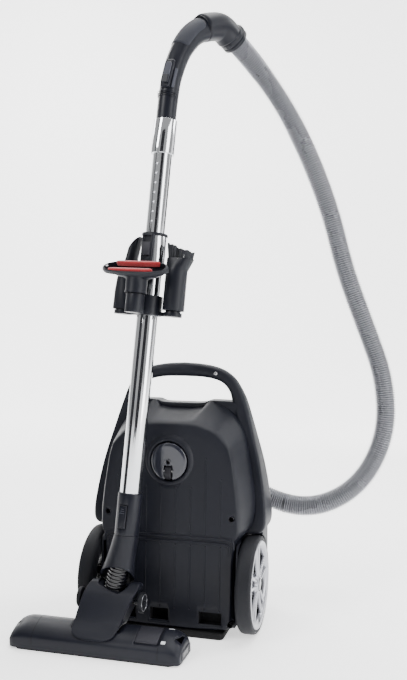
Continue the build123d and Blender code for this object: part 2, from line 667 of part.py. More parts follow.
HEAD_PLANE = Plane(origin=wand_point(602, front=ARM), x_dir=WAND_FRONT, z_dir=-WAND_SIDE)
TOOL_HALF = 57.0
with BuildPart() as upholstery_tool:
    neck, neck_length = tool_neck("front", 18.2, 604)
    extrude(neck, amount=neck_length)
    with BuildSketch(HEAD_PLANE):
        with BuildLine():
            Polyline((-12, 2), (-15, 20), (-10, 24), (-3, 24), (22, 2), (21, -4), (8, -10),
                     (-6, -6), close=True)
        make_face()
    extrude(amount=TOOL_HALF, both=True)
    for sign in (-1, 1):
        corner = wand_point(602, front=ARM - 2, side=sign * TOOL_HALF)
        cut_dir = (WAND_SIDE * sign * 0.45 - WAND_DIR).normalized()
        corner_plane = Plane(origin=corner + WAND_DIR * 2, x_dir=WAND_FRONT, z_dir=cut_dir)
        split(bisect_by=corner_plane, keep=Keep.BOTTOM)
    extrude(disc(wand_plane(590, front=ARM), TOOL_BORE), amount=26, mode=Mode.SUBTRACT)
keep(upholstery_tool, "upholstery_tool")

FACE_TURN = atan2(22, 25)       # slope of the tool's face, from its corners above
STRIP_ALONG = WAND_FRONT * cos(FACE_TURN) - WAND_DIR * sin(FACE_TURN)
STRIP_OUT = WAND_FRONT * sin(FACE_TURN) + WAND_DIR * cos(FACE_TURN)
with BuildPart() as lint_strips:
    for along, half in ((9, 44), (25, 50)):
        spot = HEAD_PLANE.from_local_coords((-3, 24, 0)) + STRIP_ALONG * along
        strip_plane = Plane(origin=spot, x_dir=WAND_SIDE, z_dir=STRIP_OUT)
        extrude(rounded(strip_plane, 2 * half, 6, 2.5), amount=2)
keep(lint_strips, "lint_strips")

with BuildPart() as dusting_brush:
    neck, neck_length = tool_neck("right", 18, 612)
    extrude(neck, amount=neck_length)
    front, side = PEG_SPOTS["right"]
    brush_mouth = wand_plane(632, front=front, side=side + 5)
    loft([disc(wand_plane(612, front=front, side=side), 18),
          rounded(brush_mouth, 30, 44, 12)])
    extrude(disc(wand_plane(611, front=front, side=side), TOOL_BORE), amount=12,
            mode=Mode.SUBTRACT)
keep(dusting_brush, "dusting_brush")

with BuildPart() as brush_bristles:
    extrude(ring(brush_mouth, 12, 7), amount=24)
    extrude(rounded(brush_mouth, 26, 40, 10), amount=24)
    extrude(rounded(brush_mouth, 14, 28, 6), amount=26, mode=Mode.SUBTRACT)
    tip = Plane(origin=brush_mouth.origin + WAND_DIR * 16, x_dir=WAND_FRONT,
                z_dir=(WAND_DIR + WAND_SIDE * 0.42).normalized())
    split(bisect_by=tip, keep=Keep.BOTTOM)
keep(brush_bristles, "brush_bristles")

# ================================================================ handle
BEND = Vector(WAND_DIR.X, WAND_DIR.Y, 0).normalized()    # level direction of the bend
HANDLE_SIDE = Vector(0, 0, 1).cross(BEND)
HANDLE_R = 17.5
HANDLE_BORE = 13.0
HANDLE_PATH = [(0, 0), (6.3, 50), (19, 94), (38, 131), (64, 160), (98, 176), (134, 178),
               (150, 169)]
KNUCKLE_R = 24.0
KNUCKLE_BEND = 44.0
KNUCKLE_FROM = (82, 169)
CUFF_START = (146.5, 171)
CUFF_END = (167, 159.4)


def handle_point(reach, rise):
    """Point in the handle's upright plane, from the top of the wand."""
    return WAND_HIGH + BEND * reach + Vector(0, 0, rise)


def handle_route():
    return [handle_point(reach, rise) for reach, rise in HANDLE_PATH]


def knuckle_route():
    """Line of the handle's thick end, from its shoulder to the cuff."""
    return [handle_point(*KNUCKLE_FROM), handle_point(134, 178), handle_point(149, 169.5)]


KNUCKLE_DIR = handle_point(134, 178) - handle_point(*KNUCKLE_FROM)


LATCH_AXIS = (handle_point(19, 94) - handle_point(6.3, 50)).normalized()
LATCH_CENTRE = handle_point(12.6, 72)
LATCH_TURN = 25.0
SLIDER_TURN = 68.0


def beside_handle(along, out, turn):
    """Plane on the handle beside its controls, facing away from its axis.

    turn is the angle from the outer side of the bend, seen from above.
    """
    away = (BEND * -cos(radians(turn)) + HANDLE_SIDE * -sin(radians(turn)))
    away = (away - LATCH_AXIS * away.dot(LATCH_AXIS)).normalized()
    return Plane(origin=LATCH_CENTRE + LATCH_AXIS * along + away * out,
                 x_dir=LATCH_AXIS, z_dir=away)


with BuildPart() as handle_tube:
    with BuildLine():
        FilletPolyline(*handle_route(), radius=fillet_radii(handle_route()))
    with BuildSketch(wand_plane(WAND_HIGH.Z)):
        Circle(HANDLE_R)
    sweep()
    with BuildLine():
        FilletPolyline(*knuckle_route(), radius=KNUCKLE_BEND)
    with BuildSketch(Plane(origin=handle_point(*KNUCKLE_FROM), z_dir=KNUCKLE_DIR)):
        Circle(KNUCKLE_R)
    sweep()
    extrude(rounded(beside_handle(0, 12, LATCH_TURN), 46, 20, 5), amount=10)
    with BuildLine():
        FilletPolyline(*handle_route(), radius=fillet_radii(handle_route()))
    with BuildSketch(wand_plane(WAND_HIGH.Z)):
        Circle(HANDLE_BORE)
    sweep(mode=Mode.SUBTRACT)
    extrude(rounded(beside_handle(0, 17.4, LATCH_TURN), 38, 13, 3), amount=9,
            mode=Mode.SUBTRACT)
    extrude(rounded(beside_handle(0, 15.2, SLIDER_TURN), 46, 6, 2), amount=9,
            mode=Mode.SUBTRACT)
keep(handle_tube, "handle_tube")

with BuildPart() as handle_latch:
    extrude(rounded(beside_handle(0, 19.8, LATCH_TURN), 37, 12, 3), amount=4.4)
keep(handle_latch, "handle_latch")

with BuildPart() as air_slider:
    extrude(rounded(beside_handle(-5, 15.6, SLIDER_TURN), 34, 5, 2), amount=3.6)
keep(air_slider, "air_slider")

with BuildPart() as grip_pad:
    with BuildLine():
        FilletPolyline(*handle_route(), radius=fillet_radii(handle_route()))
    with BuildSketch(wand_plane(WAND_HIGH.Z)):
        Circle(HANDLE_R + 1.4)
        Circle(HANDLE_R + 0.02, mode=Mode.SUBTRACT)
    sweep()
    low_end = Plane(origin=handle_point(37, 129), x_dir=HANDLE_SIDE,
                    z_dir=(BEND * 0.6 + Vector(0, 0, 0.8)).normalized())
    high_end = Plane(origin=handle_point(77, 166), x_dir=HANDLE_SIDE,
                     z_dir=(BEND * 0.9 + Vector(0, 0, 0.4)).normalized())
    inner_side = Plane(origin=handle_point(55.5, 150.2), x_dir=HANDLE_SIDE,
                       z_dir=(Vector(0, 0, 0.733) - BEND * 0.68).normalized())
    split(bisect_by=low_end, keep=Keep.TOP)
    split(bisect_by=high_end, keep=Keep.BOTTOM)
    split(bisect_by=inner_side, keep=Keep.TOP)
keep(grip_pad, "grip_pad")

cuff_from = handle_point(*CUFF_START)
cuff_to = handle_point(*CUFF_END)
CUFF_DIR = (cuff_to - cuff_from).normalized()
CUFF_LENGTH = (cuff_to - cuff_from).length
CUFF_PLANE = Plane(origin=cuff_from, x_dir=HANDLE_SIDE, z_dir=CUFF_DIR)
with BuildPart() as swivel_cuff:
    extrude(ring(CUFF_PLANE.offset(3), CUFF_R + 1.5, HANDLE_R + RUN), amount=5)
    extrude(ring(CUFF_PLANE.offset(8), CUFF_R + 1.5, HOSE_R - 4), amount=CUFF_LENGTH - 8)
    rims = swivel_cuff.edges().filter_by(GeomType.CIRCLE).sort_by(SortBy.RADIUS)
    fillet([edge for edge in rims if abs(edge.radius - CUFF_R - 1.5) < 0.01][-1:], 2)
keep(swivel_cuff, "swivel_cuff")

# ================================================================ suction hose
# From the elbow's cuff it runs below the middle of the back, out to the right, up and
# over to the handle's cuff.  It is two nodes that meet at SPLIT, halfway along a run.
LOW_RUN = ELBOW_END + ELBOW_DIR * 70
RISE = [(208, 227, 167), (297, 232, 214), (345, 249, 308), (342, 254, 416), (303, 251, 522),
        (267, 246, 620), (242, 241, 724), (205, 234, 825), (158, 223, 924)]
SPLIT = (LOW_RUN + Vector(*RISE[0])) * 0.5
HOSE_BORE = 15.5


def hose_piece(name, points):
    """Tube along a route whose end runs serve one bend each, so they count double."""
    corners = [Vector(*point) for point in points]
    first = corners[0] * 2 - corners[1]
    last = corners[-1] * 2 - corners[-2]
    radii = fillet_radii([first] + corners[1:-1] + [last])
    print(name, "bend radii", [round(radius) for radius in radii])
    with BuildPart() as piece:
        with BuildLine() as line:
            FilletPolyline(*corners, radius=radii)
        start = Plane(origin=corners[0], z_dir=corners[1] - corners[0])
        with BuildSketch(start):
            Circle(HOSE_R)
            Circle(HOSE_BORE, mode=Mode.SUBTRACT)
        sweep()
    section = pi * (HOSE_R ** 2 - HOSE_BORE ** 2)
    length = line.wires()[0].length
    print(name, "length", round(length), "volume over section x length",
          round(piece.part.volume / (section * length), 4))
    keep(piece, name)


hose_piece("hose_tail", [ELBOW_END + ELBOW_DIR * GAP, LOW_RUN, SPLIT])
hose_piece("hose", [SPLIT] + RISE + [cuff_to + CUFF_DIR * 50, cuff_to + CUFF_DIR * GAP])

# ================================================================ floor head
HEAD_HALF = HEAD_W / 2
COVER_LOW = 14.4
COVER_PROFILE = [
    (-136, COVER_LOW), (-136, 22), (-128, 31), (-114, 38.5), (-98, 42), (-82, 38.5),
    (-70, 29), (-68, 22), (-68, COVER_LOW),
]
COVER_INSIDE = [(-132, 10), (-132, 22), (-125, 29), (-112, 35), (-98, 38), (-84, 35),
                (-73, 27), (-72, 22), (-72, 10)]
NOTCH_W = 78.0
NOTCH_Y = -106.0
BARREL_R = 16.5
BARREL_HALF = 37.0
PEDAL_HALF = 18.5
PEDAL_X_MID = 3.0


def head_slab(profile, x_from, x_to):
    """Extrusion of a (y, z) outline between two places along the head."""
    return extrude(side_profile(profile).moved(Location((x_from, 0, 0))),
                   amount=x_to - x_from, mode=Mode.PRIVATE)


def cut_neck_space():
    """Space in the floor head for the neck: an open notch and the barrel's bed."""
    with Locations((HEAD_X, (NOTCH_Y + HEAD_BACK) / 2 + 5, 20)):
        Box(NOTCH_W, HEAD_BACK - NOTCH_Y + 10, 60, mode=Mode.SUBTRACT)
    with across(HEAD_X, HINGE_Y, HINGE_Z):
        Cylinder(BARREL_R + 0.7, NOTCH_W, mode=Mode.SUBTRACT)


with BuildPart() as nozzle_cover:
    add(head_slab(COVER_PROFILE, HEAD_X - HEAD_HALF, HEAD_X + HEAD_HALF))
    for x_from, x_to in ((-228, -132), (-40, 55)):
        add(head_slab(COVER_INSIDE, x_from, x_to), mode=Mode.SUBTRACT)
    cut_neck_space()
    with Locations((PEDAL_X_MID, -109, 40)):
        Box(2 * PEDAL_HALF + 1, 39, 30, mode=Mode.SUBTRACT)
    for sign in (-1, 1):
        end = HEAD_X + sign * HEAD_HALF
        bevel = [(end + sign * 9, 16), (end, 16), (end - sign * 11, 46), (end + sign * 9, 46)]
        extrude(panel(upright(-150), bevel), amount=-100, mode=Mode.SUBTRACT)
        corner = [(end + sign * 9, -145), (end - sign * 16, -145), (end - sign * 16, -136),
                  (end, -122), (end + sign * 9, -122)]
        extrude(panel(Plane.XY, corner), amount=60, mode=Mode.SUBTRACT)
    # hinge pins that carry the neck
    for sign in (-1, 1):
        with across(HEAD_X + sign * 39, HINGE_Y, HINGE_Z):
            Cylinder(4, 12)
keep(nozzle_cover, "nozzle_cover")

MOUTH_X = (-206, 34)
MOUTH_Y = (-130, -119)
BRUSH_YS = (-133, -115.5)
with BuildPart() as nozzle_base:
    with Locations((HEAD_X, -102, COVER_LOW / 2)):
        Box(HEAD_W - 2, 66, COVER_LOW)
    for sign in (-1, 1):
        end = HEAD_X + sign * (HEAD_HALF - 1)
        corner = [(end + sign * 9, -145), (end - sign * 16, -145), (end - sign * 16, -135),
                  (end, -121), (end + sign * 9, -121)]
        extrude(panel(Plane.XY, corner), amount=60, mode=Mode.SUBTRACT)
    cut_neck_space()
    with Locations(((MOUTH_X[0] + MOUTH_X[1]) / 2, (MOUTH_Y[0] + MOUTH_Y[1]) / 2, 5)):
        Box(MOUTH_X[1] - MOUTH_X[0], MOUTH_Y[1] - MOUTH_Y[0], 13, mode=Mode.SUBTRACT)
    for brush_y in BRUSH_YS:
        with Locations((HEAD_X, brush_y, 4)):
            Box(234, 3.4, 12, mode=Mode.SUBTRACT)
keep(nozzle_base, "nozzle_base")

with BuildPart() as brush_strips:
    for brush_y in BRUSH_YS:
        with Locations((HEAD_X, brush_y, 5)):
            Box(233, 2.6, 8)
keep(brush_strips, "brush_strips")

with BuildPart() as nozzle_pedal:
    pedal_profile = [(-127.6, 27), (-127.6, 32.4), (-114, 39.6), (-98, 43.2), (-90.4, 41.4),
                     (-90.4, 30), (-112, 30)]
    add(head_slab(pedal_profile, PEDAL_X_MID - PEDAL_HALF, PEDAL_X_MID + PEDAL_HALF))
keep(nozzle_pedal, "nozzle_pedal")

NECK_PROFILE = [
    (-130.5, 31.4), (-127, 33.4), (-114, 40.8), (-105, 44), (-103.6, 34), (-100, 20), (-88, 14),
    (-84, 24), (-50, 62), (-42, 93), (-64, 98), (-84, 87),
]
NECK_FRONT = [
    (-116, 0), (-123, 30), (-124.2, 44), (-122, 86), (-107, 103), (-42, 109), (-29, 99),
    (-48.4, 50), (-49, 30), (-56, 0),
]
NECK_WHEEL_R = 16.5
NECK_AXLE_X = -76.0
NECK_WHEEL_X = 53.0
NECK_WHEEL_Y = -72.0
NECK_WHEEL_Z = 72.0
BELLOWS_TOP = MOUTH - ELBOW_AXIS * 34
BELLOWS_LENGTH = 76.0
BELLOWS_R = 17.5
bellows_plane = Plane(origin=BELLOWS_TOP, x_dir=(1, 0, 0), z_dir=ELBOW_AXIS)

with BuildPart() as nozzle_neck:
    add(head_slab(NECK_PROFILE, -130, -20))
    extrude(panel(upright(-160), NECK_FRONT), amount=-160, mode=Mode.INTERSECT)
    with across(HEAD_X, HINGE_Y, HINGE_Z):
        Cylinder(BARREL_R, 2 * BARREL_HALF)
    elbow_room = Plane(origin=MOUTH + ELBOW_AXIS * 9, x_dir=(1, 0, 0), z_dir=ELBOW_AXIS)
    extrude(disc(elbow_room, MOUTH_R + 1.5), amount=-60, mode=Mode.SUBTRACT)
    extrude(disc(bellows_plane, BELLOWS_R + 1), amount=BELLOWS_LENGTH + 1, mode=Mode.SUBTRACT)
    with across(HEAD_X, HINGE_Y, HINGE_Z):
        Cylinder(4 + RUN, 90, mode=Mode.SUBTRACT)
    with across(HEAD_X, HINGE_Y, HINGE_Z):
        Cylinder(5, 60)
    with across(NECK_AXLE_X, NECK_WHEEL_Y, NECK_WHEEL_Z):
        Cylinder(3.5, 2 * NECK_WHEEL_X + 8)
    extrude(disc(bellows_plane, BELLOWS_R + 1), amount=BELLOWS_LENGTH + 1, mode=Mode.SUBTRACT)
keep(nozzle_neck, "nozzle_neck")

with BuildPart() as neck_wheels:
    for sign in (-1, 1):
        with across(NECK_AXLE_X + sign * NECK_WHEEL_X, NECK_WHEEL_Y, NECK_WHEEL_Z):
            Cylinder(NECK_WHEEL_R, 7)
            Cylinder(3.5 + RUN, 8, mode=Mode.SUBTRACT)
    fillet(neck_wheels.edges().filter_by(GeomType.CIRCLE).sort_by(SortBy.RADIUS)[-4:], 2)
keep(neck_wheels, "neck_wheels")

RING_PITCH = 6.0
with BuildPart() as neck_bellows:
    extrude(ring(bellows_plane, BELLOWS_R - 2, BELLOWS_R - 4), amount=BELLOWS_LENGTH)
    for step in range(int(BELLOWS_LENGTH / RING_PITCH)):
        rib_plane = bellows_plane.offset(1 + step * RING_PITCH)
        extrude(ring(rib_plane, BELLOWS_R, BELLOWS_R - 3), amount=3)
keep(neck_bellows, "neck_bellows")
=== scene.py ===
"""Canister vacuum cleaner, parked upright, on its CAD frame.  Metres; helpers take millimetres."""
import json
from math import atan2, ceil, copysign, cos, pi, radians, sin, sqrt

import bmesh
import bpy
from mathutils import Matrix, Vector

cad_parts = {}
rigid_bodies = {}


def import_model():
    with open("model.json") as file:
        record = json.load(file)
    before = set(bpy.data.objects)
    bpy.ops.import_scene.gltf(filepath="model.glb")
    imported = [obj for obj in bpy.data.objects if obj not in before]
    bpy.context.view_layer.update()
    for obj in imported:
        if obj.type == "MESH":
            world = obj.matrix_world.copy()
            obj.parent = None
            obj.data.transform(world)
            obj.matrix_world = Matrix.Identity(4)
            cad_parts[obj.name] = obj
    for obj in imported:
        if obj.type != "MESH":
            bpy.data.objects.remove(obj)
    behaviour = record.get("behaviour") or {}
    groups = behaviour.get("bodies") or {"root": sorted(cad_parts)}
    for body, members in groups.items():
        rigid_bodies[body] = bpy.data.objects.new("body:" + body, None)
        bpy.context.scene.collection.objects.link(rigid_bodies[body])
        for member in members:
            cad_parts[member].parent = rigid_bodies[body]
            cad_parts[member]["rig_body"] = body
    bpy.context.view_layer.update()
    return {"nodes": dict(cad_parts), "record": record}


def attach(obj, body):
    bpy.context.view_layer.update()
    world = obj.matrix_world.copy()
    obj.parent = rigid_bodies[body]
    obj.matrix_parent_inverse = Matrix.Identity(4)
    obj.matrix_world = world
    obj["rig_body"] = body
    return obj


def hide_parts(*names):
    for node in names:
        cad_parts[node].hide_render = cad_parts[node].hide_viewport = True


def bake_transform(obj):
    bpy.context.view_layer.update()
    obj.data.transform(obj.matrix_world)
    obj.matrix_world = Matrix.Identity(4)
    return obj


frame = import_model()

MM = 0.001
NODES = frame["nodes"]
BODY_OF = {node: obj["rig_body"] for node, obj in NODES.items()}
SLOT_OF = {part["node"]: part["material_slot"] for part in frame["record"]["subparts"]}


# ------------------------------------------------------------------ materials
PATCHES = 16.0
SPECULAR = 0.2


def surface(name, colour, rough, metal=0.0, tint=0.16, grain=1800.0, bump=0.12, depth=0.0002,
            spread=0.1, coat=0.0, sheen=0.0, streak=None):
    """Procedural finish: broad tint and roughness patches, and a fine moulded grain."""
    mat = bpy.data.materials.new(name)
    mat.use_nodes = True
    tree = mat.node_tree
    tree.nodes.clear()

    def node(kind, **values):
        made = tree.nodes.new("ShaderNode" + kind)
        for socket, value in values.items():
            made.inputs[socket.replace("_", " ")].default_value = value
        return made

    def link(start, output, end, socket):
        tree.links.new(start.outputs[output], end.inputs[socket])

    out = node("OutputMaterial")
    bsdf = node("BsdfPrincipled", Metallic=metal, Coat_Weight=coat, Coat_Roughness=0.08,
                Sheen_Weight=sheen, Specular_IOR_Level=SPECULAR)
    link(bsdf, "BSDF", out, "Surface")
    coord = node("TexCoord")
    broad = node("TexNoise", Scale=PATCHES, Detail=6.0)
    link(coord, "Object", broad, "Vector")
    fine = node("TexNoise", Scale=grain, Detail=2.0)
    if streak:
        stretch = node("Mapping", Scale=streak)
        link(coord, "Object", stretch, "Vector")
        link(stretch, "Vector", fine, "Vector")
    else:
        link(coord, "Object", fine, "Vector")
    mix = node("Mix")
    mix.data_type = "RGBA"
    mix.inputs["A"].default_value = [c * (1 - tint) for c in colour] + [1]
    mix.inputs["B"].default_value = [min(1, c * (1 + tint)) for c in colour] + [1]
    link(broad, "Fac", mix, "Factor")
    link(mix, "Result", bsdf, "Base Color")
    shine = node("MapRange", From_Min=0.3, From_Max=0.7, To_Min=max(0.02, rough - spread / 2),
                 To_Max=min(1, rough + spread / 2))
    link(broad, "Fac", shine, "Value")
    link(shine, "Result", bsdf, "Roughness")
    lift = node("Bump", Strength=bump, Distance=depth)
    link(fine, "Fac", lift, "Height")
    link(lift, "Normal", bsdf, "Normal")
    return mat


CHARCOAL = (0.0042, 0.0049, 0.0088)
MATS = {
    "shell_plastic": surface("shell", CHARCOAL, 0.47, bump=0.35, depth=0.00012),
    "foot_rubber": surface("foot", (0.004, 0.004, 0.0045), 0.7, grain=900, bump=0.4),
    "gloss_dark": surface("gloss", (0.010, 0.011, 0.014), 0.22, bump=0.03, coat=0.3),
    "screw_steel": surface("screw", (0.5, 0.5, 0.51), 0.32, metal=1.0, grain=2600),
    "lid_plastic": surface("lid", (0.005, 0.006, 0.010), 0.35, bump=0.15, depth=0.0001),
    "control_grey": surface("control", (0.036, 0.038, 0.050), 0.5, bump=0.3),
    "vent_plastic": surface("vent", (0.008, 0.009, 0.012), 0.5, bump=0.3),
    "motor_plastic": surface("motor", (0.13, 0.13, 0.14), 0.5, bump=0.3),
    "rotor_aluminium": surface("rotor", (0.7, 0.7, 0.72), 0.35, metal=1.0),
    "reel_plastic": surface("reel", (0.05, 0.05, 0.055), 0.5, bump=0.3),
    "bag_fabric": surface("bag", (0.72, 0.70, 0.64), 0.9, grain=1400, bump=0.8, sheen=0.3),
    "filter_fabric": surface("filter", (0.8, 0.8, 0.77), 0.9, grain=1500, bump=0.8),
    "duct_plastic": surface("duct", (0.05, 0.05, 0.055), 0.5, bump=0.3),
    "tyre_rubber": surface("tyre", (0.006, 0.0065, 0.009), 0.6, grain=1000, bump=0.35),
    "hub_silver": surface("hub", (0.33, 0.335, 0.36), 0.30, metal=0.85, tint=0.08, bump=0.05),
    "axle_steel": surface("axle", (0.5, 0.5, 0.51), 0.3, metal=1.0, streak=(40, 1, 1)),
    "castor_gloss": surface("castor", (0.016, 0.017, 0.024), 0.12, tint=0.1, bump=0.02, coat=0.6),
    "roller_rubber": surface("roller", (0.010, 0.010, 0.013), 0.5, grain=1200, bump=0.3),
    "wand_chrome": surface("chrome", (0.60, 0.61, 0.63), 0.08, metal=1.0, tint=0.03,
                           grain=300, bump=0.004, spread=0.05, streak=(1, 1, 0.02)),
    "wand_plastic": surface("wand", (0.0055, 0.0063, 0.0105), 0.40, bump=0.25, depth=0.0001),
    "tool_plastic": surface("tool", (0.0055, 0.0063, 0.0100), 0.40, bump=0.25, depth=0.0001),
    "lint_red": surface("lint", (0.30, 0.006, 0.010), 0.85, grain=1500, bump=1.0,
                        depth=0.0006, sheen=0.6),
    "bristle_dark": surface("bristle", (0.022, 0.023, 0.027), 0.55, grain=3000, bump=0.4),
    "handle_plastic": surface("handle", (0.0048, 0.0055, 0.0095), 0.38, bump=0.25, depth=0.0001),
    "grip_grey": surface("grip", (0.016, 0.0175, 0.025), 0.62, grain=1100, bump=0.6,
                         depth=0.0003),
    "hose_silver": surface("hose", (0.20, 0.204, 0.222), 0.28, metal=0.6, tint=0.10, bump=0.08),
    "head_plastic": surface("head", (0.0072, 0.0080, 0.0130), 0.42, bump=0.3, depth=0.0001),
    "sole_plastic": surface("sole", (0.006, 0.006, 0.008), 0.4, bump=0.3),
    "bellows_rubber": surface("bellows", (0.004, 0.004, 0.006), 0.13, bump=0.03, coat=0.5),
    "pedal_grey": surface("pedal", (0.019, 0.019, 0.025), 0.5, bump=0.4),
    "brush_dark": surface("stripbrush", (0.02, 0.02, 0.022), 0.6, grain=3000, bump=0.5),
}
SHELL = ("shell_plastic", "canister")
BOTH = ("start", "end")
MARK = surface("mark", (0.62, 0.63, 0.66), 0.5, tint=0.05, bump=0.1)
# Near-black matte: painted shade in holes, pockets and recesses, and the colour of the dark seam
# lines.
PAINTED_SHADE_AND_SEAM = surface("painted_shade_and_seam", (0.004, 0.004, 0.005), 0.8, bump=0.1)


# ------------------------------------------------------------------ mesh helpers
def piece(name, verts, faces, mat, body, slot=None, smooth=35.0, bevel=0.0, segments=3,
          thick=0.0):
    """Mesh from millimetre points that rides on a body; a minus in its name becomes m."""
    name = name.replace("-", "m")
    mesh = bpy.data.meshes.new(name)
    mesh.from_pydata([Vector(v) * MM for v in verts], [], faces)
    bm = bmesh.new()
    bm.from_mesh(mesh)
    bmesh.ops.remove_doubles(bm, verts=bm.verts, dist=1e-6)
    bmesh.ops.recalc_face_normals(bm, faces=bm.faces)
    bm.to_mesh(mesh)
    bm.free()
    obj = bpy.data.objects.new(name, mesh)
    bpy.context.scene.collection.objects.link(obj)
    return dress(obj, mat, body, slot, smooth, bevel, segments, thick)


def dress(obj, mat, body, slot=None, smooth=35.0, bevel=0.0, segments=3, thick=0.0):
    mesh = obj.data
    mesh.materials.clear()
    mesh.materials.append(MATS.get(mat, mat) if isinstance(mat, str) else mat)
    mesh.polygons.foreach_set("use_smooth", [True] * len(mesh.polygons))
    if thick:
        solid = obj.modifiers.new("wall", "SOLIDIFY")
        solid.thickness = thick * MM
        solid.offset = -1
    if bevel:
        edge = obj.modifiers.new("edges", "BEVEL")
        edge.width = bevel * MM
        edge.segments = segments
        edge.limit_method = "ANGLE"
        edge.angle_limit = radians(smooth)
        edge.harden_normals = True
        edge.use_clamp_overlap = True
    else:
        mesh.set_sharp_from_angle(angle=radians(smooth))
    if body:
        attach(obj, body)
    return obj


def refined(node, bevel, mat=None):
    """Softened copy of a CAD node: doubles merged, flats rejoined, edges bevelled."""
    mesh = NODES[node].data.copy()
    bm = bmesh.new()
    bm.from_mesh(mesh)
    bmesh.ops.remove_doubles(bm, verts=bm.verts, dist=2e-6)
    bmesh.ops.dissolve_limit(bm, angle_limit=radians(0.6), verts=bm.verts, edges=bm.edges)
    bm.to_mesh(mesh)
    bm.free()
    obj = bpy.data.objects.new(node + "_skin", mesh)
    bpy.context.scene.collection.objects.link(obj)
    dress(obj, mat or SLOT_OF[node], BODY_OF[node], SLOT_OF[node], 32.0, bevel)
    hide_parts(node)
    return obj


def loops(rings, closed=True, caps=()):
    """Points and faces of a skin over equal rings; caps names the ends to close."""
    count = len(rings[0])
    verts = [point for ring in rings for point in ring]
    faces = []
    for k in range(len(rings) - 1):
        for i in range(count if closed else count - 1):
            j = (i + 1) % count
            faces.append((k * count + i, k * count + j, (k + 1) * count + j,
                          (k + 1) * count + i))
    if "start" in caps:
        faces.append(tuple(range(count)))
    if "end" in caps:
        faces.append(tuple(range(len(verts) - count, len(verts))))
    return verts, faces


def skin(name, rings, mat, body, slot=None, closed=True, caps=(), **more):
    """Piece whose surface runs over rings of points."""
    verts, faces = loops(rings, closed, caps)
    return piece(name, verts, faces, mat, body, slot, **more)


def turns(count, start=0.0):
    """Even angles round a full turn."""
    return [2 * pi * (i + start) / count for i in range(count)]


def circle(centre, across, up, radius, count):
    return [centre + (across * cos(t) + up * sin(t)) * radius for t in turns(count)]


def signed_power(value, power):
    """Power that keeps the sign, for rounded rectangles."""
    return copysign(abs(value) ** power, value)


def frames(points):
    """Tangent and two square directions along a line, carried without twist."""
    points = [Vector(p) for p in points]
    result = []
    side = None
    for i, point in enumerate(points):
        ahead = points[min(i + 1, len(points) - 1)]
        behind = points[max(i - 1, 0)]
        tangent = (ahead - behind).normalized()
        if side is None:
            hint = Vector((0, 0, 1)) if abs(tangent.z) < 0.9 else Vector((1, 0, 0))
            side = hint.cross(tangent).normalized()
        side = (side - tangent * side.dot(tangent)).normalized()
        result.append((point, tangent, side, tangent.cross(side)))
    return result


def tube(name, points, radii, mat, body, slot=None, sides=32, caps=BOTH, **more):
    rings = [circle(point, side, up, radius, sides)
             for (point, _, side, up), radius in zip(frames(points), radii)]
    return skin(name, rings, mat, body, slot, caps=caps, **more)


def lathe(name, profile, centre, axis, mat, body, slot=None, sides=96, **more):
    """Turned piece: profile of (radius, height) along an axis through centre."""
    axis = Vector(axis).normalized()
    hint = Vector((0, 0, 1)) if abs(axis.z) < 0.9 else Vector((1, 0, 0))
    across = hint.cross(axis).normalized()
    up = axis.cross(across)
    centre = Vector(centre)
    rings = [circle(centre + axis * height, across, up, radius, sides)
             for radius, height in profile]
    return skin(name, rings, mat, body, slot, **more)


def block(name, centre, size, mat, body, slot=None, along=(1, 0, 0), up=(0, 0, 1), bevel=0.8,
          **more):
    """Bevelled box: size along (along, up, along x up)."""
    e1 = Vector(along).normalized()
    e2 = Vector(up)
    e2 = (e2 - e1 * e2.dot(e1)).normalized()
    e3 = e1.cross(e2)
    centre = Vector(centre)
    rings = []
    for k in (-1, 1):
        rings.append([centre + e1 * a * size[0] / 2 + e2 * b * size[1] / 2
                      + e3 * k * size[2] / 2 for a, b in ((-1, -1), (1, -1), (1, 1), (-1, 1))])
    return skin(name, rings, mat, body, slot, caps=BOTH, bevel=bevel, **more)


def chaikin(points, rounds=2, closed=True):
    """Corner-cut outline; an open one keeps its ends."""
    for _ in range(rounds):
        cut = []
        last = len(points) if closed else len(points) - 1
        if not closed:
            cut.append(points[0])
        for i in range(last):
            p = Vector(points[i])
            q = Vector(points[(i + 1) % len(points)])
            cut += [p.lerp(q, 0.25), p.lerp(q, 0.75)]
        if not closed:
            cut.append(points[-1])
        points = [Vector(p) for p in cut]
    return points


def filled(first, second, pitch):
    """Two matching closed outlines, cut into equal short steps."""
    one, two = [], []
    for i in range(len(first)):
        j = (i + 1) % len(first)
        steps = max(1, ceil((first[j] - first[i]).length / pitch))
        for k in range(steps):
            one.append(first[i].lerp(first[j], k / steps))
            two.append(second[i].lerp(second[j], k / steps))
    return one, two


def applied(obj):
    """Turns a piece's modifiers into its mesh."""
    bpy.context.view_layer.update()
    graph = bpy.context.evaluated_depsgraph_get()
    mesh = bpy.data.meshes.new_from_object(obj.evaluated_get(graph))
    obj.modifiers.clear()
    obj.data = mesh
    return obj


def boolean(obj, other, operation):
    step = obj.modifiers.new("combine", "BOOLEAN")
    step.object = other
    step.operation = operation
    step.solver = "EXACT"


def carve(obj, cutters):
    """Cuts boxes and rods out of a piece, for good."""
    for tool in cutters:
        boolean(obj, tool, "DIFFERENCE")
    applied(obj)
    for tool in cutters:
        bpy.data.objects.remove(tool)
    return obj


def combine(obj, other, operation):
    boolean(obj, other, operation)
    applied(obj)
    bpy.data.objects.remove(other)
    return obj


def melted(obj, voxel, rounds):
    """Joins and rounds a piece's solids into one moulded skin."""
    remesh = obj.modifiers.new("melt", "REMESH")
    remesh.mode = "VOXEL"
    remesh.voxel_size = voxel * MM * 1
    soften = obj.modifiers.new("soften", "SMOOTH")
    soften.factor = 0.5
    soften.iterations = rounds
    mesh = applied(obj).data
    mesh.polygons.foreach_set("use_smooth", [True] * len(mesh.polygons))
    return obj


def prism(name, outline, start, end):
    """Solid between two copies of an outline given as 3D points."""
    shift = Vector(end) - Vector(start)
    ring = [Vector(p) for p in outline]
    return skin(name, [ring, [p + shift for p in ring]], PAINTED_SHADE_AND_SEAM, None, caps=BOTH)


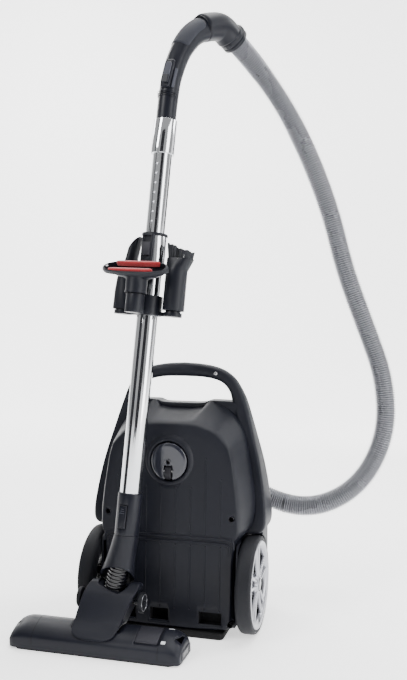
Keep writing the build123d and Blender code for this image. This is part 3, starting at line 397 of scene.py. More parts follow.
def full(right_side):
    """Closed outline from its right-hand points, mirrored, as 3D-ready vectors (x, z)."""
    both = right_side + [(-x, z) for x, z in reversed(right_side)]
    return [Vector((x, z, 0)) for x, z in both]


# ------------------------------------------------------------------ wand frame (as in the CAD)
LOW = Vector((-52.6, -65.4, 174.0))
HIGH = Vector((-7.1, 7.3, 862.0))
WAND = (HIGH - LOW).normalized()
HINT = Vector((cos(radians(-99)), sin(radians(-99)), 0))
FRONT = (HINT - WAND * HINT.dot(WAND)).normalized()
SIDE = WAND.cross(FRONT)
BEND = Vector((WAND.x, WAND.y, 0)).normalized()
BEND_SIDE = Vector((0, 0, 1)).cross(BEND)


def on_wand(z, front=0.0, side=0.0):
    return LOW + WAND * ((z - LOW.z) / WAND.z) + FRONT * front + SIDE * side


def on_handle(reach, rise):
    return HIGH + BEND * reach + Vector((0, 0, rise))


# ------------------------------------------------------------------ hose
PORT = Vector((0, 236, 266))
ELBOW = Vector((cos(radians(36)), 0, -sin(radians(36))))
ELBOW_END = PORT + ELBOW * 65
CUFF_FROM = on_handle(146, 176)
CUFF_TO = on_handle(166.5, 164.4)
CUFF = (CUFF_TO - CUFF_FROM).normalized()
LOW_RUN = ELBOW_END + ELBOW * 70
RISE = [Vector(p) for p in (
    (208, 227, 167), (297, 232, 214), (345, 249, 308), (342, 254, 416), (303, 251, 522),
    (267, 246, 620), (242, 241, 724), (205, 234, 825), (158, 223, 924))]
SPLIT = (LOW_RUN + RISE[0]) / 2
RIB = 4.15


def spline_points(name, control):
    """Points along an open quadratic spline through its end points, in millimetres."""
    curve = bpy.data.curves.new(name, "CURVE")
    curve.dimensions = "3D"
    spline = curve.splines.new("NURBS")
    spline.points.add(len(control) - 1)
    for point, place in zip(spline.points, control):
        point.co = (*(Vector(place) * MM), 1.0)
    spline.order_u = 3
    spline.use_endpoint_u = True
    spline.resolution_u = 48
    obj = bpy.data.objects.new(name, curve)
    bpy.context.scene.collection.objects.link(obj)
    bpy.context.view_layer.update()
    line = bpy.data.meshes.new_from_object(obj)
    points = [v.co / MM for v in line.vertices]
    bpy.data.objects.remove(obj)
    return points


def even(points, step):
    """The same line, cut at an even step; returns the points and the whole length."""
    lengths = [0.0]
    for a, b in zip(points, points[1:]):
        lengths.append(lengths[-1] + (b - a).length)
    count = round(lengths[-1] / step)
    result = []
    k = 0
    for i in range(count + 1):
        target = lengths[-1] * i / count
        while k < len(points) - 2 and lengths[k + 1] < target:
            k += 1
        span = lengths[k + 1] - lengths[k]
        result.append(points[k].lerp(points[k + 1], (target - lengths[k]) / max(span, 1e-9)))
    return result, lengths[-1]


def corrugated(name, control):
    """Ribbed hose: rounded crests and narrow valleys along the line."""
    per_rib = 7
    line, length = even(spline_points(name + "_line", control), RIB / per_rib)
    profile = {4: (0.0, 1.0, 1.0, 0.35), 7: (0.0, 0.45, 0.92, 1.0, 0.92, 0.45, 0.0)}[per_rib]
    radii = [15.6 + 3.4 * profile[i % per_rib] for i in range(len(line))]
    obj = tube(name, line, radii, "hose_silver", None, "hose_silver",
               sides=40, caps=(), smooth=80)
    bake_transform(obj)
    return obj, [list(p * MM) for p in line[::per_rib] + line[-1:]], length


tail, _, _ = corrugated(
    "hose_tail_ribs", [ELBOW_END + ELBOW * 0.4, LOW_RUN, SPLIT])
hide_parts("hose_tail")
hose, hose_path, hose_length = corrugated(
    "hose_ribs", [CUFF_TO + CUFF * 0.4, CUFF_TO + CUFF * 50] + RISE[::-1] + [SPLIT])
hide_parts("hose")

# ------------------------------------------------------------------ plain CAD pieces, softened
for node, width in {
    "stand_foot": 1.5, "lid": 1.2, "lid_latch": 1.0, "power_button": 1.6, "rewind_button": 1.6,
    "suction_knob": 1.0, "cord_outlet": 0.8, "exhaust_cover": 0.9, "motor_housing": 1.0,
    "fan_rotor": 0.4, "cord_reel": 1.0, "dust_bag": 3.0, "intake_duct": 0.6,
    "motor_filter": 1.0, "exhaust_filter": 1.0, "wheel_axles": 0.8, "castor_roller": 0.5,
    "hose_inlet": 1.2, "hose_elbow": 0.9, "release_button_left": 0.7,
    "release_button_right": 0.7, "hose_end_cuff": 1.0, "lower_tube": 0.2,
    "slider_housing": 1.2, "upper_tube": 0.3, "wand_socket": 1.0, "parking_hook": 1.2,
    "accessory_holder": 1.2, "dusting_brush": 1.0, "handle_latch": 1.2, "air_slider": 0.9,
    "nozzle_base": 1.0, "brush_strips": 0.4, "nozzle_pedal": 1.5, "neck_bellows": 0.5,
}.items():
    refined(node, width)


# ------------------------------------------------------------------ canister shells
def panel_y(z):
    return -16.0 + 0.055 * z


def seam_y(z):
    return 38.0 + 0.19 * (z - 160.0)


PANEL = full([(98, 14), (110, 26), (112, 158), (121, 170), (120, 208), (116, 250),
              (107, 312), (93, 329), (76, 345), (50, 353), (40, 355), (30, 356)])
SEAM = full([(112, 12), (117, 24), (117, 160), (134, 177), (140, 210), (133, 258),
             (119, 323), (111, 343), (93, 367), (57, 386), (47, 386), (38, 373)])
WALL = 2.45
TURN_IN = 2.0
SLOTS = ((-75, 39), (-14, 32), (75, 39))
SLOT_Z = 34
CASTOR_Z = 291


def rounded_ring(near, middle, far, t):
    """Point by point quadratic arc from near to far, pulled towards middle."""
    return [a.lerp(b, t).lerp(b.lerp(c, t), t) for a, b, c in zip(near, middle, far)]


def moulded(name, face, rim, face_y, rim_y, centre, soften, crisp=2):
    """Shell half: flat face, soft crease, shoulder, and an edge that turns in at the seam."""
    face, rim = filled(chaikin(face, crisp), chaikin(rim, crisp), 7.0)
    near = [Vector((p.x, face_y(p.y), p.y)) for p in face]
    far = [Vector((p.x, rim_y(p.y), p.y)) for p in rim]
    middle = Vector(centre)
    inner = [middle.lerp(p, 1 - soften / 100) for p in near]
    outer = [p.lerp(q, 0.22) for p, q in zip(near, far)]
    rings = [[middle.lerp(p, s / 9) for p in inner] for s in range(1, 10)]
    rings += [rounded_ring(inner, near, outer, s / 7) for s in range(1, 8)]
    rings += [[p.lerp(q, s / 8) for p, q in zip(outer, far)] for s in range(1, 8)]
    away = (face_y(200) - rim_y(200)) / abs(face_y(200) - rim_y(200))
    tuck = [p.lerp(middle, 0.012) - Vector((0, away * TURN_IN, 0)) for p in far]
    rings += [far, tuck]
    return skin(name, rings, *SHELL, caps=("start",), smooth=42, thick=WALL)


def cutter(name, centre, size):
    return block(name, centre, size, PAINTED_SHADE_AND_SEAM, None, bevel=0)


def rod_cutter(name, centre, axis, radius, length):
    axis = Vector(axis)
    centre = Vector(centre)
    ends = [centre - axis * length / 2, centre + axis * length / 2]
    return tube(name, ends, [radius, radius], PAINTED_SHADE_AND_SEAM, None, sides=48)


under = moulded("underside", PANEL, SEAM, panel_y, seam_y, (0, panel_y(190), 190), 2.6, crisp=1)
cuts = [cutter(f"slot{x}", (x, -12, SLOT_Z), (w, 20, 24)) for x, w in SLOTS]
cuts += [rod_cutter(f"hole{x}_{z}", (x, panel_y(z), z), (0, 1, 0), 4.4, 30)
         for x in (-109, 109) for z in (26, 200)]
cuts.append(rod_cutter("well", (0, -2, CASTOR_Z), (0, 1, 0), 37.2, 40))
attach(carve(under, cuts), "canister")
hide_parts("base_shell")
# Slot pockets in near-black matte: painted shade inside the slots.
for x, w in SLOTS:
    pocket_y = panel_y(SLOT_Z)
    rings = [[Vector((x + a * w / 2, y, SLOT_Z + b * 12))
              for a, b in ((-1, -1), (1, -1), (1, 1), (-1, 1))]
             for y in (pocket_y + 0.8, pocket_y + 16)]
    skin(f"slot_pocket_{x}", rings, PAINTED_SHADE_AND_SEAM, "canister", "shell_plastic", caps=("end",))
    block(f"slot_lip_{x}", (x, pocket_y - 0.3, 21.2), (w + 4, 1.6, 1.8), *SHELL, bevel=0.5)

# double ridge that turns down at both ends, thin upright ribs and the dots at their ends
for z, reach in ((158.5, 102), (166.5, 108)):
    line = []
    for sign in (-1, 1):
        corner = [Vector((sign * 60, 0, z)), Vector((sign * reach, 0, z)),
                  Vector((sign * (reach + 5), 0, z - 4)), Vector((sign * (reach + 6), 0, z - 16))]
        corner = chaikin(corner, 2, closed=False)
        line = line + corner if sign > 0 else corner[::-1]
    line = [Vector((p.x, panel_y(p.z) - 0.1, p.z)) for p in line]
    tube(f"ridge_{int(z)}", line, [2.3] * len(line), *SHELL, sides=16)
for step in (-3.5, -2.5, -1.5, -0.5, 0.5, 1.5, 2.5, 3.5):
    x = 26 * step
    spans = [(50, 150)] + ([(174, 296 if abs(x) < 80 else 262)] if abs(x) > 42 else [(174, 246)])
    for low, high in spans:
        line = [Vector((x, panel_y(z) + 0.25, z)) for z in (low, (low + high) / 2, high)]
        tube(f"rib_{step}_{low}", line, [0.5, 1.0, 0.5], *SHELL, sides=10)
        for z in (low - 3, high + 2):
            lathe(f"dot_{step}_{z}", [(0, -0.9), (1.1, -0.8), (1.7, 0)],
                  (x, panel_y(z), z), (0, 1, 0), *SHELL, sides=14)

# castor well: raised ring and a near-black cup, painted shade behind the castor
lathe("well_ring", [(33.2, 24), (33.2, 2), (33.6, -1.5), (35.0, -3.4), (37.6, -3.9), (40, -3.0),
                    (43, 0.2), (46, 2.6)],
      (0, 0, CASTOR_Z), (0, 1, 0), *SHELL, smooth=60)
lathe("well_floor", [(0, 26), (34, 26), (34, 20)], (0, 0, CASTOR_Z), (0, 1, 0), PAINTED_SHADE_AND_SEAM, "canister",
      "shell_plastic")


# castor: glossy face crowned about the upright, centre hole with a ring, roller pocket
rings = []
for share in (0.0, 0.2, 0.4, 0.6, 0.8, 0.93, 0.985, 1.0):
    ring = []
    for t in turns(72):
        x, z = 31.9 * share * cos(t), 31.9 * share * sin(t)
        edge = 1.6 * max(0, (share - 0.93) / 0.07) ** 2
        ring.append(Vector((x, -3.2 - 3.4 * (1 - (x / 32) ** 2) + edge, CASTOR_Z + z)))
    rings.append(ring)
rings.append([Vector((p.x, 16, p.z)) for p in rings[-1]])
turret = skin("castor_skin", rings[1:], "castor_gloss", "castor", caps=BOTH, smooth=40)
turret = carve(turret, [cutter("roller_gap", (0, 0, 269.5), (15, 30, 30)),
                        rod_cutter("pin_hole", (0, -6, CASTOR_Z), (0, 1, 0), 3.6, 14)])
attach(turret, "castor")
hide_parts("castor_turret")
lathe("pin_ring", [(3.6, -4), (3.7, 0.6), (4.6, 1.0), (5.4, 0.5), (5.6, -1)], (0, -6.6, CASTOR_Z),
      (0, -1, 0), "castor_gloss", "castor", sides=40)
for sign in (-1, 1):
    tube(f"roller_pin_{sign + 1}", [Vector((sign * 6, -4.4, 275)), Vector((sign * 12, -4.0, 275))],
         [1.7, 1.7], "axle_steel", "castor", "castor_gloss", sides=16)


# side frame and carrying handle: one band swept along its outer and inner outlines
def sweep_band(name, outer, inner, front, back, power):
    """Rounded band between two outlines; front and back give its depth at a height."""
    rings = []
    for o, i, n in zip(outer, inner, power):
        o3, i3 = Vector((o.x, 0, o.y)), Vector((i.x, 0, i.y))
        z = (o.y + i.y) / 2
        mid = (o3 + i3) / 2 + Vector((0, (front(z) + back(z)) / 2, 0))
        a = (o3 - i3) / 2
        b = Vector((0, (back(z) - front(z)) / 2, 0))
        rings.append([mid + a * signed_power(cos(t), 2 / n) + b * signed_power(sin(t), 2 / n)
                      for t in turns(28, 0.5)])
    return skin(name, rings, *SHELL, caps=BOTH, smooth=50)


def frame_front(z):
    return min(7.6 + 0.19 * z, 80.0)


def frame_back(z):
    return 112.0 - 8.0 * min(1.0, max(0.0, (z - 386) / 26))


BAND_OUT = [(112, 12), (117, 24), (117, 100), (117, 164), (134, 165), (150, 166), (157, 176),
            (157, 200), (152, 236), (144, 279), (132, 322), (123, 354), (114, 385), (105, 408),
            (93, 428), (69, 444), (35, 451), (0, 452.5)]
BAND_IN = [(107, 14), (111, 27), (111, 100), (111, 168), (118, 174), (128, 180), (134, 194),
           (136, 210), (131, 240), (123, 279), (112, 322), (99, 350), (89, 383), (86, 399),
           (79, 411), (67, 421), (38, 427.5), (0, 428)]
BAND_POWER = [7, 7, 7, 7, 7, 7, 7, 7, 7, 7, 6, 5, 4, 3, 2.7, 2.5, 2.5, 2.5]


def mirrored_band(name, outer, inner, power, front, back):
    """Band swept from its right-hand outlines, mirrored to the left."""
    outer = chaikin([Vector((x, z, 0)) for x, z in outer], closed=False)
    inner = chaikin([Vector((x, z, 0)) for x, z in inner], closed=False)
    power = [p.x for p in chaikin([Vector((n, 0, 0)) for n in power], closed=False)]
    outer += [Vector((-p.x, p.y, 0)) for p in outer[-2::-1]]
    inner += [Vector((-p.x, p.y, 0)) for p in inner[-2::-1]]
    return sweep_band(name, outer, inner, front, back, power + power[-2::-1])


band = mirrored_band("side_band", BAND_OUT, BAND_IN, BAND_POWER, frame_front, frame_back)
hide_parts("side_frame")
BRIDGE_TOP = [(104, 380), (90, 386.5), (57, 387), (47, 386.5), (38, 382), (0, 382)]
BRIDGE_LOW = [(100, 352), (88, 366), (57, 379), (46, 379), (36, 371), (0, 371)]
mirrored_band("frame_bridge", BRIDGE_TOP, BRIDGE_LOW, [6] * len(BRIDGE_TOP), lambda z: 79.0,
              lambda z: 112.0)

# rear housing
HOUSE_RIM = full([(111, 13), (116, 25), (116, 165), (146, 172), (152, 182), (152, 205),
                  (144, 261), (127, 323), (112, 352), (94, 374), (57, 386), (46, 386), (36, 378)])
HOUSE_FACE = full([(84, 22), (96, 36), (100, 150), (106, 166), (114, 182), (114, 205),
                   (109, 258), (97, 316), (84, 340), (66, 356), (46, 362), (38, 362), (30, 361)])
rear = moulded("rear_shell", HOUSE_FACE, HOUSE_RIM, lambda z: 190.0, lambda z: 112.3,
               (0, 190.0, 190), 7.0)
rear = carve(rear, [cutter("lid_gap", (0, 190, 107), (160, 78, 30)),
                    cutter("vent_gap", (0, 190, 39.5), (128, 18, 30)),
                    rod_cutter("port_gap", (0, 190, 266), (0, 1, 0), 22.5, 30)])
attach(rear, "canister")
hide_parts("upper_housing")
for sign in (-1, 1):
    block(f"lid_ear_{sign + 1}", (sign * 92, 195, 62), (6, 10, 10), *SHELL, bevel=1.5)
tube("lid_pin", [Vector((-93, 195.5, 62)), Vector((93, 195.5, 62))], [2, 2], "axle_steel",
     "canister", "shell_plastic", sides=20)
for k in range(7):
    z = 300 + k * 6
    line = [Vector((x, 190.2, z)) for x in (-46 + k * 2, 0, 46 - k * 2)]
    tube(f"rear_line_{k}", line, [0.5, 0.9, 0.5], *SHELL, sides=8)
block("lid_handle", (0, 199.6, 146), (46, 8, 2.6), "lid_plastic", "lid", bevel=1.0)
for k in range(5):
    line = [Vector((x, 200.0, 80 + 11 * k)) for x in (-70, 0, 70)]
    tube(f"lid_line_{k}", line, [0.4, 0.9, 0.4], "lid_plastic", "lid", sides=8)
for sign, body in ((1, "power_button"), (-1, "rewind_button")):
    centre = Vector((sign * 79, 198.1, 189))
    ring = [centre + Vector((6.5 * sin(t), 0, 6.5 * cos(t)))
            for t in (radians(a) for a in range(35, 326, 10))]
    tube(f"icon_arc_{body}", ring, [0.6] * len(ring), MARK, body, "control_grey", sides=8)
    if sign > 0:
        tube("icon_bar", [centre + Vector((0, 0, 1)), centre + Vector((0, 0, 8))], [0.6, 0.6],
             MARK, body, "control_grey", sides=8)
    else:
        lathe("icon_dot", [(0, 0.3), (1.6, 0.2), (1.8, -0.4)], centre, (0, 1, 0), MARK, body,
              "control_grey", sides=16)
for k in range(24):
    turn = radians(15 * k)
    spot = Vector((17.0 * sin(turn), 197, 189 + 17.0 * cos(turn)))
    block(f"knob_rib_{k}", spot, (9, 1.4, 1.6), "control_grey", "suction_knob",
          along=(0, 1, 0), up=(cos(turn), 0, -sin(turn)), bevel=0.3, segments=2)


def screw(name, centre):
    """Screw head with a cross recess, facing forward; the recess is painted near-black as painted
    shade.
    """
    radius = 3.2
    axis = Vector((0, -1, 0))
    lathe(name, [(0, 0.35 * radius), (radius * 0.6, 0.3 * radius), (radius, 0),
                 (radius, -0.6 * radius)], centre, axis, "screw_steel", "canister", sides=32)
    across = Vector((0.5, 0, 0.86)).normalized()
    for k in (0, 1):
        if k:
            across = axis.cross(across)
        block(f"{name}_cross{k}", Vector(centre) + axis * radius * 0.3, (radius * 1.1,
              radius * 0.24, radius * 0.12), PAINTED_SHADE_AND_SEAM, "canister", "screw_steel", along=across,
              up=axis.cross(across), bevel=0)


# Case screws sit deep in holes whose walls are near-black matte: painted shade in the holes.
for k, (x, z) in enumerate(((-109, 26), (109, 26), (-109, 200), (109, 200))):
    y = panel_y(z) + 5
    lathe(f"screw_shaft_{k}", [(4.3, -4.6), (4.3, 13), (0, 13)], (x, y, z), (0, 1, 0), PAINTED_SHADE_AND_SEAM,
          "canister", "shell_plastic", sides=32)
    screw(f"case_screw_{k}", (x, y + 6, z))
for k, x in enumerate((-60, 60)):
    screw(f"handle_screw_{k}", (x, 80.2, 434.5))
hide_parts("case_screws")
for k in range(7):
    block(f"foot_ridge_{k}", (-84 + 28 * k, 148.4, 6), (14, 6, 1.4), "foot_rubber", "canister",
          bevel=0.5)

for sign in (-1, 1):
    guard = chaikin([Vector((sign * 117, y, z)) for y, z in (
        (-9, 28), (-6, 150), (2, 158), (30, 160), (30, 24), (-4, 22))], 2)
    wall = prism(f"arch_{sign + 1}", guard, (sign * 117, 0, 0), (sign * 121.2, 0, 0))
    dress(wall, *SHELL, bevel=0.8)
    arch = [Vector((sign * 118, y, z)) for y, z in (
        (66, 170), (66, 159.5), (80, 152.5), (90, 144.5), (100, 133), (110, 117), (111.5, 170))]
    back = prism(f"arch_back_{sign + 1}", arch, (sign * 118, 0, 0), (sign * 148, 0, 0))
    dress(back, *SHELL, bevel=0.8)

# wheels: smooth tyre, dished silver hub with five double spokes
for name, sign in (("left", -1), ("right", 1)):
    body = f"wheel_{name}"
    hub = (sign * 122, 34, 82.5)
    axis = (sign, 0, 0)
    profile = [(60, 0), (72, 0.4), (77, 1.6), (80, 4.2), (81, 8)]
    profile += [(81, 22.8), (79.8, 26), (77, 27.8), (74.5, 28), (73.4, 27.2), (72.8, 25),
                (72.6, 20)]
    tyre = lathe(f"tyre_{name}_skin", profile, hub, axis, "tyre_rubber", body, smooth=40)
    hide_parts(f"tyre_{name}")
    lathe(f"wheel_disc_{name}", [(8, 17), (30, 12), (60, 10), (73, 12), (74, 20)], hub, axis,
          "gloss_dark", body, "tyre_rubber")
    lathe(f"rim_{name}", [(73.2, 22), (73.2, 26.6), (72, 28.2), (69.5, 28.4), (66, 27),
                          (62.5, 24.4), (61.8, 20)], hub, axis, "hub_silver", body, smooth=60)
    boss = lathe(f"boss_{name}", [(0, 28.6), (8, 28.4), (12.5, 27.4), (15, 25.2), (18, 22.5),
                                  (19, 17)], hub, axis, "hub_silver", body)
    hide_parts(f"hubcap_{name}")
    lathe(f"boss_ring_{name}", [(9.4, 28.5), (10, 28.9), (10.8, 28.7), (11.2, 28.0)], hub, axis,
          "gloss_dark", body, "hub_silver")
    centre = Vector(hub)
    for arm in range(5):
        for side in (-1, 1):
            turn = radians(90 + 72 * arm)
            out_dir = Vector((0, cos(turn), sin(turn)))
            beside = Vector((0, -sin(turn), cos(turn)))
            line, widths = [], []
            for s in range(7):
                f = s / 6
                reach = 13 + 55 * f
                line.append(centre + out_dir * reach + beside * side * (4.2 + 7.5 * f)
                            + Vector(axis) * (25.2 - 2.4 * f + 2.6 * f * f))
                widths.append(4.4 + 1.8 * f)
            rings = []
            for p, w in zip(line, widths):
                rings.append([p + beside * w * 0.5 * a + Vector(axis) * b for a, b in (
                    (-1, -3.5), (-1, -0.4), (-0.5, 0.9), (0.5, 0.9), (1, -0.4), (1, -3.5))])
            skin(f"spoke_{name}_{arm}_{side + 1}", rings, "hub_silver", body, caps=BOTH,
                 smooth=50)


# ------------------------------------------------------------------ floor head
HEAD_ENDS = (-231.0, 59.0)
HEAD_Y = -102.0
CREST = [(-135.4, 2.6), (-136, 8), (-136, 20.5), (-135.4, 22.4), (-132, 26.6), (-127, 30.6),
         (-120, 34.8), (-112, 38.4), (-104, 41.0), (-96, 42.0), (-88, 41.0), (-80, 37.8),
         (-74, 32.6), (-69.8, 26), (-68.4, 20), (-68.2, 8), (-68.6, 2.6)]


def head_ring(x, grow=0.0):
    """Cross-section of the head at x, lower and narrower where an end rounds off."""
    reach = min(x - HEAD_ENDS[0], HEAD_ENDS[1] - x)
    tall = sqrt(1 - (1 - min(1, max(0, reach) / 30)) ** 2)
    wide = sqrt(1 - (1 - min(1, max(0, reach) / 13)) ** 2)
    ring = []
    for y, z in CREST:
        lift = 1 if z > 22 else (z - 2.6) / 19.4
        z = z - (z - 2.6) * 0.46 * (1 - tall) * lift
        y = HEAD_Y + (y - HEAD_Y) * (0.80 + 0.20 * wide)
        away = Vector((0, y - HEAD_Y, max(0, z - 12))).normalized()
        ring.append(Vector((x, y, z)) + away * grow)
    return ring


def head_form(name, grow, mat, body, slot=None):
    places = [HEAD_ENDS[0] + 30 * (1 - cos(pi / 2 * k / 12)) for k in range(12)]
    places += [-201 + 230 * k / 24 for k in range(25)]
    places += [HEAD_ENDS[1] - p + HEAD_ENDS[0] for p in places[11::-1]]
    rings = [head_ring(x, grow) for x in places]
    return skin(name, rings, mat, body, slot, caps=BOTH, smooth=38)


cover = head_form("cover_skin", 0.0, "head_plastic", "head")
cover = carve(cover, [cutter("neck_gap", (-86, -76, 20), (78, 60, 80)),
                      rod_cutter("barrel_bed", (-86, -100, 22), (1, 0, 0), 17.2, 78),
                      cutter("pedal_gap", (3, -109, 47), (38, 39, 40)),
                      cutter("inside", (-86, -102, 4), (284, 62, 22))])
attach(cover, "head")
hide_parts("nozzle_cover")
block("end_plate", (59.0, -101, 12.4), (1.6, 13, 44), "pedal_grey", "head", "head_plastic",
      bevel=0.7)
block("end_inset", (59.8, -103, 12.2), (0.6, 8, 26), "gloss_dark", "head", "head_plastic",
      bevel=0.25)
for x in (-189, 24):
    ring = [p + Vector((0, -0.02, 0.02)) for p in head_ring(x)[1:13]]
    tube(f"seam_{x}", ring, [0.28] * len(ring), PAINTED_SHADE_AND_SEAM, "head", "head_plastic", sides=8)
for place, size, turn in (((34, -91, 41.6), (9, 2.4, 0.5), -0.15),
                          ((30, -124.5, 32.4), (7, 5, 0.5), 0.6),
                          ((-212, -112, 34.2), (4.5, 2.0, 0.5), 0.45)):
    block(f"mark_{int(place[0])}", place, size, MARK, "head", "head_plastic",
          up=(0, cos(turn), sin(turn)), bevel=0.15)


# neck: a smooth tongue over the head, with two arms beside the bellows
MOUTH = Vector((-72, -62, 100))
ELBOW_AXIS = (MOUTH - on_wand(180.5)).normalized()
NECK_SIDE = [(-135.2, 24), (-133.6, 29), (-127, 35), (-117, 42.5), (-108, 51), (-87, 86),
             (-80, 93), (-66, 104), (-52, 96), (-42, 89), (-47, 62), (-82, 24), (-88, 14),
             (-100, 14), (-112, 24)]
NECK_FACE = [(-126, 38), (-120, 31.5), (-106, 27.2), (-88, 25.4), (-70, 26.4), (-57, 29.4),
             (-50, 34), (-43.5, 56), (-36, 78), (-27.5, 96), (-29, 103), (-44, 108),
             (-104, 106), (-113, 100), (-119, 88), (-123.5, 66)]
side_line = chaikin([Vector((-140, y, z)) for y, z in NECK_SIDE], 2)
face_line = chaikin([Vector((x, -160, z)) for x, z in NECK_FACE], 2)
neck = prism("neck_skin", side_line, (-140, 0, 0), (-10, 0, 0))
neck = combine(neck, prism("neck_face", face_line, (0, -160, 0), (0, 0, 0)), "INTERSECT")
for trim in (rod_cutter("elbow_room", MOUTH + ELBOW_AXIS * -21, ELBOW_AXIS, 27.6, 60),
             rod_cutter("bellows_room", MOUTH + ELBOW_AXIS * 5, ELBOW_AXIS, 18.6, 78),
             head_form("head_room", 0.45, PAINTED_SHADE_AND_SEAM, None)):
    neck = combine(neck, trim, "DIFFERENCE")
neck = combine(neck, rod_cutter("neck_barrel", (-86, -100, 22), (1, 0, 0), 16.4, 74), "UNION")
neck = combine(neck, rod_cutter("bellows_room", MOUTH + ELBOW_AXIS * 5, ELBOW_AXIS, 18.6, 78),
               "DIFFERENCE")
neck = melted(neck, 0.8, 4)
dress(neck, "head_plastic", None, "head_plastic", 60)
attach(neck, "neck")
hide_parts("nozzle_neck")
tube("neck_axle", [Vector((-132.6, -72, 72)), Vector((-19.4, -72, 72))], [3.4, 3.4],
     "gloss_dark", "neck", "head_plastic", sides=24)
for x in (-129, -23):
    lathe(f"neck_wheel_ring_{x}",
          [(12.4, 3.3), (12.7, 4.0), (13.3, 4.0), (13.6, 3.3)], (x, -72, 72),
          (1 if x > -76 else -1, 0, 0), "hub_silver", "neck_wheels", "roller_rubber", sides=48)

# ------------------------------------------------------------------ wand details
collar = lathe("collar_skin", [(17.6, 0), (20.3, 0), (20.7, 1), (20.7, 61), (20.2, 62.2),
                               (16.2, 62.4)], on_wand(606), WAND, "wand_chrome",
               BODY_OF["telescope_collar"], "wand_plastic")
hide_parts("telescope_collar")
lathe("collar_ring", [(16.1, 62.4), (21.4, 62.4), (21.8, 63.2), (21.8, 65.6), (21.2, 66.6),
                      (16.1, 66.6)], on_wand(606), WAND, "wand_plastic",
      BODY_OF["telescope_collar"])
for k in range(7):
    lathe(f"dimple_{k}", [(0, 0.5), (2.4, 0.35), (3.6, -0.3), (3.9, -1)],
          on_wand(690 + 16 * k, 15.7), FRONT, "hub_silver", "upper_wand", "wand_chrome",
          sides=24)
refined("socket_latch", 0.8, mat="wand_plastic")
refined("telescope_slider", 0.9, mat="pedal_grey")
refined("neck_wheels", 0.8, mat="tyre_rubber")
for k in range(3):
    block(f"latch_arrow_{k}", on_wand(216 + 3.4 * k, 22.4), (9 - 2 * k, 1.2, 0.8),
          "control_grey", BODY_OF["socket_latch"], "control_grey", along=SIDE, up=WAND,
          bevel=0.3)
rings = []
for share, radius in ((0, 20), (0.05, 20.2), (0.3, 22.0), (0.55, 24.8), (0.75, 28.2),
                      (0.9, 31), (1, 32.5)):
    at = on_wand(180).lerp(MOUTH + ELBOW_AXIS * 12, share)
    pull = WAND.lerp(-ELBOW_AXIS, min(1, share * 2)).normalized()
    e1 = (Vector((1, 0, 0)) - pull * pull.x).normalized()
    e2 = pull.cross(e1)
    rings.append(circle(at, e1, e2, radius, 72))
elbow = skin("elbow_skin", rings, "wand_plastic", None, thick=2.6, smooth=60)
mouth_cut = prism("mouth_cut", [Vector((-200, y, z)) for y, z in (
    (-112, 151.6), (-28, 83.4), (-28, 40), (-112, 40))], (-200, 0, 0), (40, 0, 0))
elbow = carve(elbow, [mouth_cut])
dress(elbow, "wand_plastic", BODY_OF["elbow_shell"], "wand_plastic", 45)
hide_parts("elbow_shell")

# ------------------------------------------------------------------ handle
HANDLE = [(0, -2), (6.3, 50), (19, 94), (38, 131), (64, 160), (98, 176), (134, 178)]
handle_line, _ = even(spline_points("handle_line", [on_handle(*p) for p in HANDLE]), 1.5)


def handle_radius(share):
    """Radius of the handle along its line: slim at the wand, fuller under the grip."""
    steps = [(0, 16.6), (0.28, 17.0), (0.36, 17.6), (0.5, 18.4), (0.62, 19.6), (0.78, 20.6),
             (1, 20.6)]
    for (a, ra), (b, rb) in zip(steps, steps[1:]):
        if share <= b:
            return ra + (rb - ra) * (share - a) / (b - a)
    return steps[-1][1]


count = len(handle_line) - 1
stop = max(i for i, p in enumerate(handle_line) if (p - HIGH).dot(BEND) < 88)
grip_tube = tube("handle_skin", handle_line[:stop], [handle_radius(i / count) for i in range(stop)],
                 "handle_plastic", "upper_wand", sides=64)
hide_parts("handle_tube")
knuckle_line, _ = even(spline_points("knuckle_line", [
    on_handle(81, 171), on_handle(112, 183), on_handle(136, 181.5), on_handle(150, 169)]), 1.2)
knuckle_r = [21.2, 22.4, 23.3, 23.8] + [24.0] * (len(knuckle_line) - 6) + [23.6, 22.6]
tube("knuckle", knuckle_line, knuckle_r, "handle_plastic", "upper_wand", sides=72)
ahead = (knuckle_line[1] - knuckle_line[0]).normalized()
for back, radius in ((-2.2, 21.6), (-0.6, 21.9)):
    lathe(f"shoulder_{int(-back * 10)}", [(20.2, -0.6), (radius, -0.4), (radius, 0.4), (20.2, 0.6)],
          knuckle_line[0] + ahead * back, ahead, PAINTED_SHADE_AND_SEAM if back > -1 else "handle_plastic",
          "upper_wand", "handle_plastic")
cuff_body = BODY_OF["swivel_cuff"]
cuff_length = (CUFF_TO - CUFF_FROM).length
cuff = lathe("cuff_skin", [(17.6, 3), (23.2, 3), (24.6, 4), (25, 5.6), (25, 12.4), (24.2, 13.2),
                           (24.2, 14.2), (25.2, 15), (25.2, 19.6), (24.6, 21), (23, 22),
                           (20.4, cuff_length), (19.3, cuff_length)],
             CUFF_FROM, CUFF, "handle_plastic", cuff_body, smooth=50)
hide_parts("swivel_cuff")
for turn in (20, 140, 260):
    a = radians(turn)
    out = (BEND_SIDE * cos(a) + CUFF.cross(BEND_SIDE) * sin(a)).normalized()
    block(f"cuff_clip_{turn}", CUFF_FROM + CUFF * 9 + out * 25, (9, 9, 1.6), "handle_plastic",
          cuff_body, along=CUFF, up=out.cross(CUFF), bevel=0.7)

# latch: dark raised block with a light pad above a dark ridge
LATCH_AXIS = (on_handle(19, 94) - on_handle(6.3, 50)).normalized()
LATCH_AT = on_handle(12.6, 72)


def around_handle(turn):
    a = radians(turn)
    away = BEND * -cos(a) + BEND_SIDE * -sin(a)
    return (away - LATCH_AXIS * away.dot(LATCH_AXIS)).normalized()


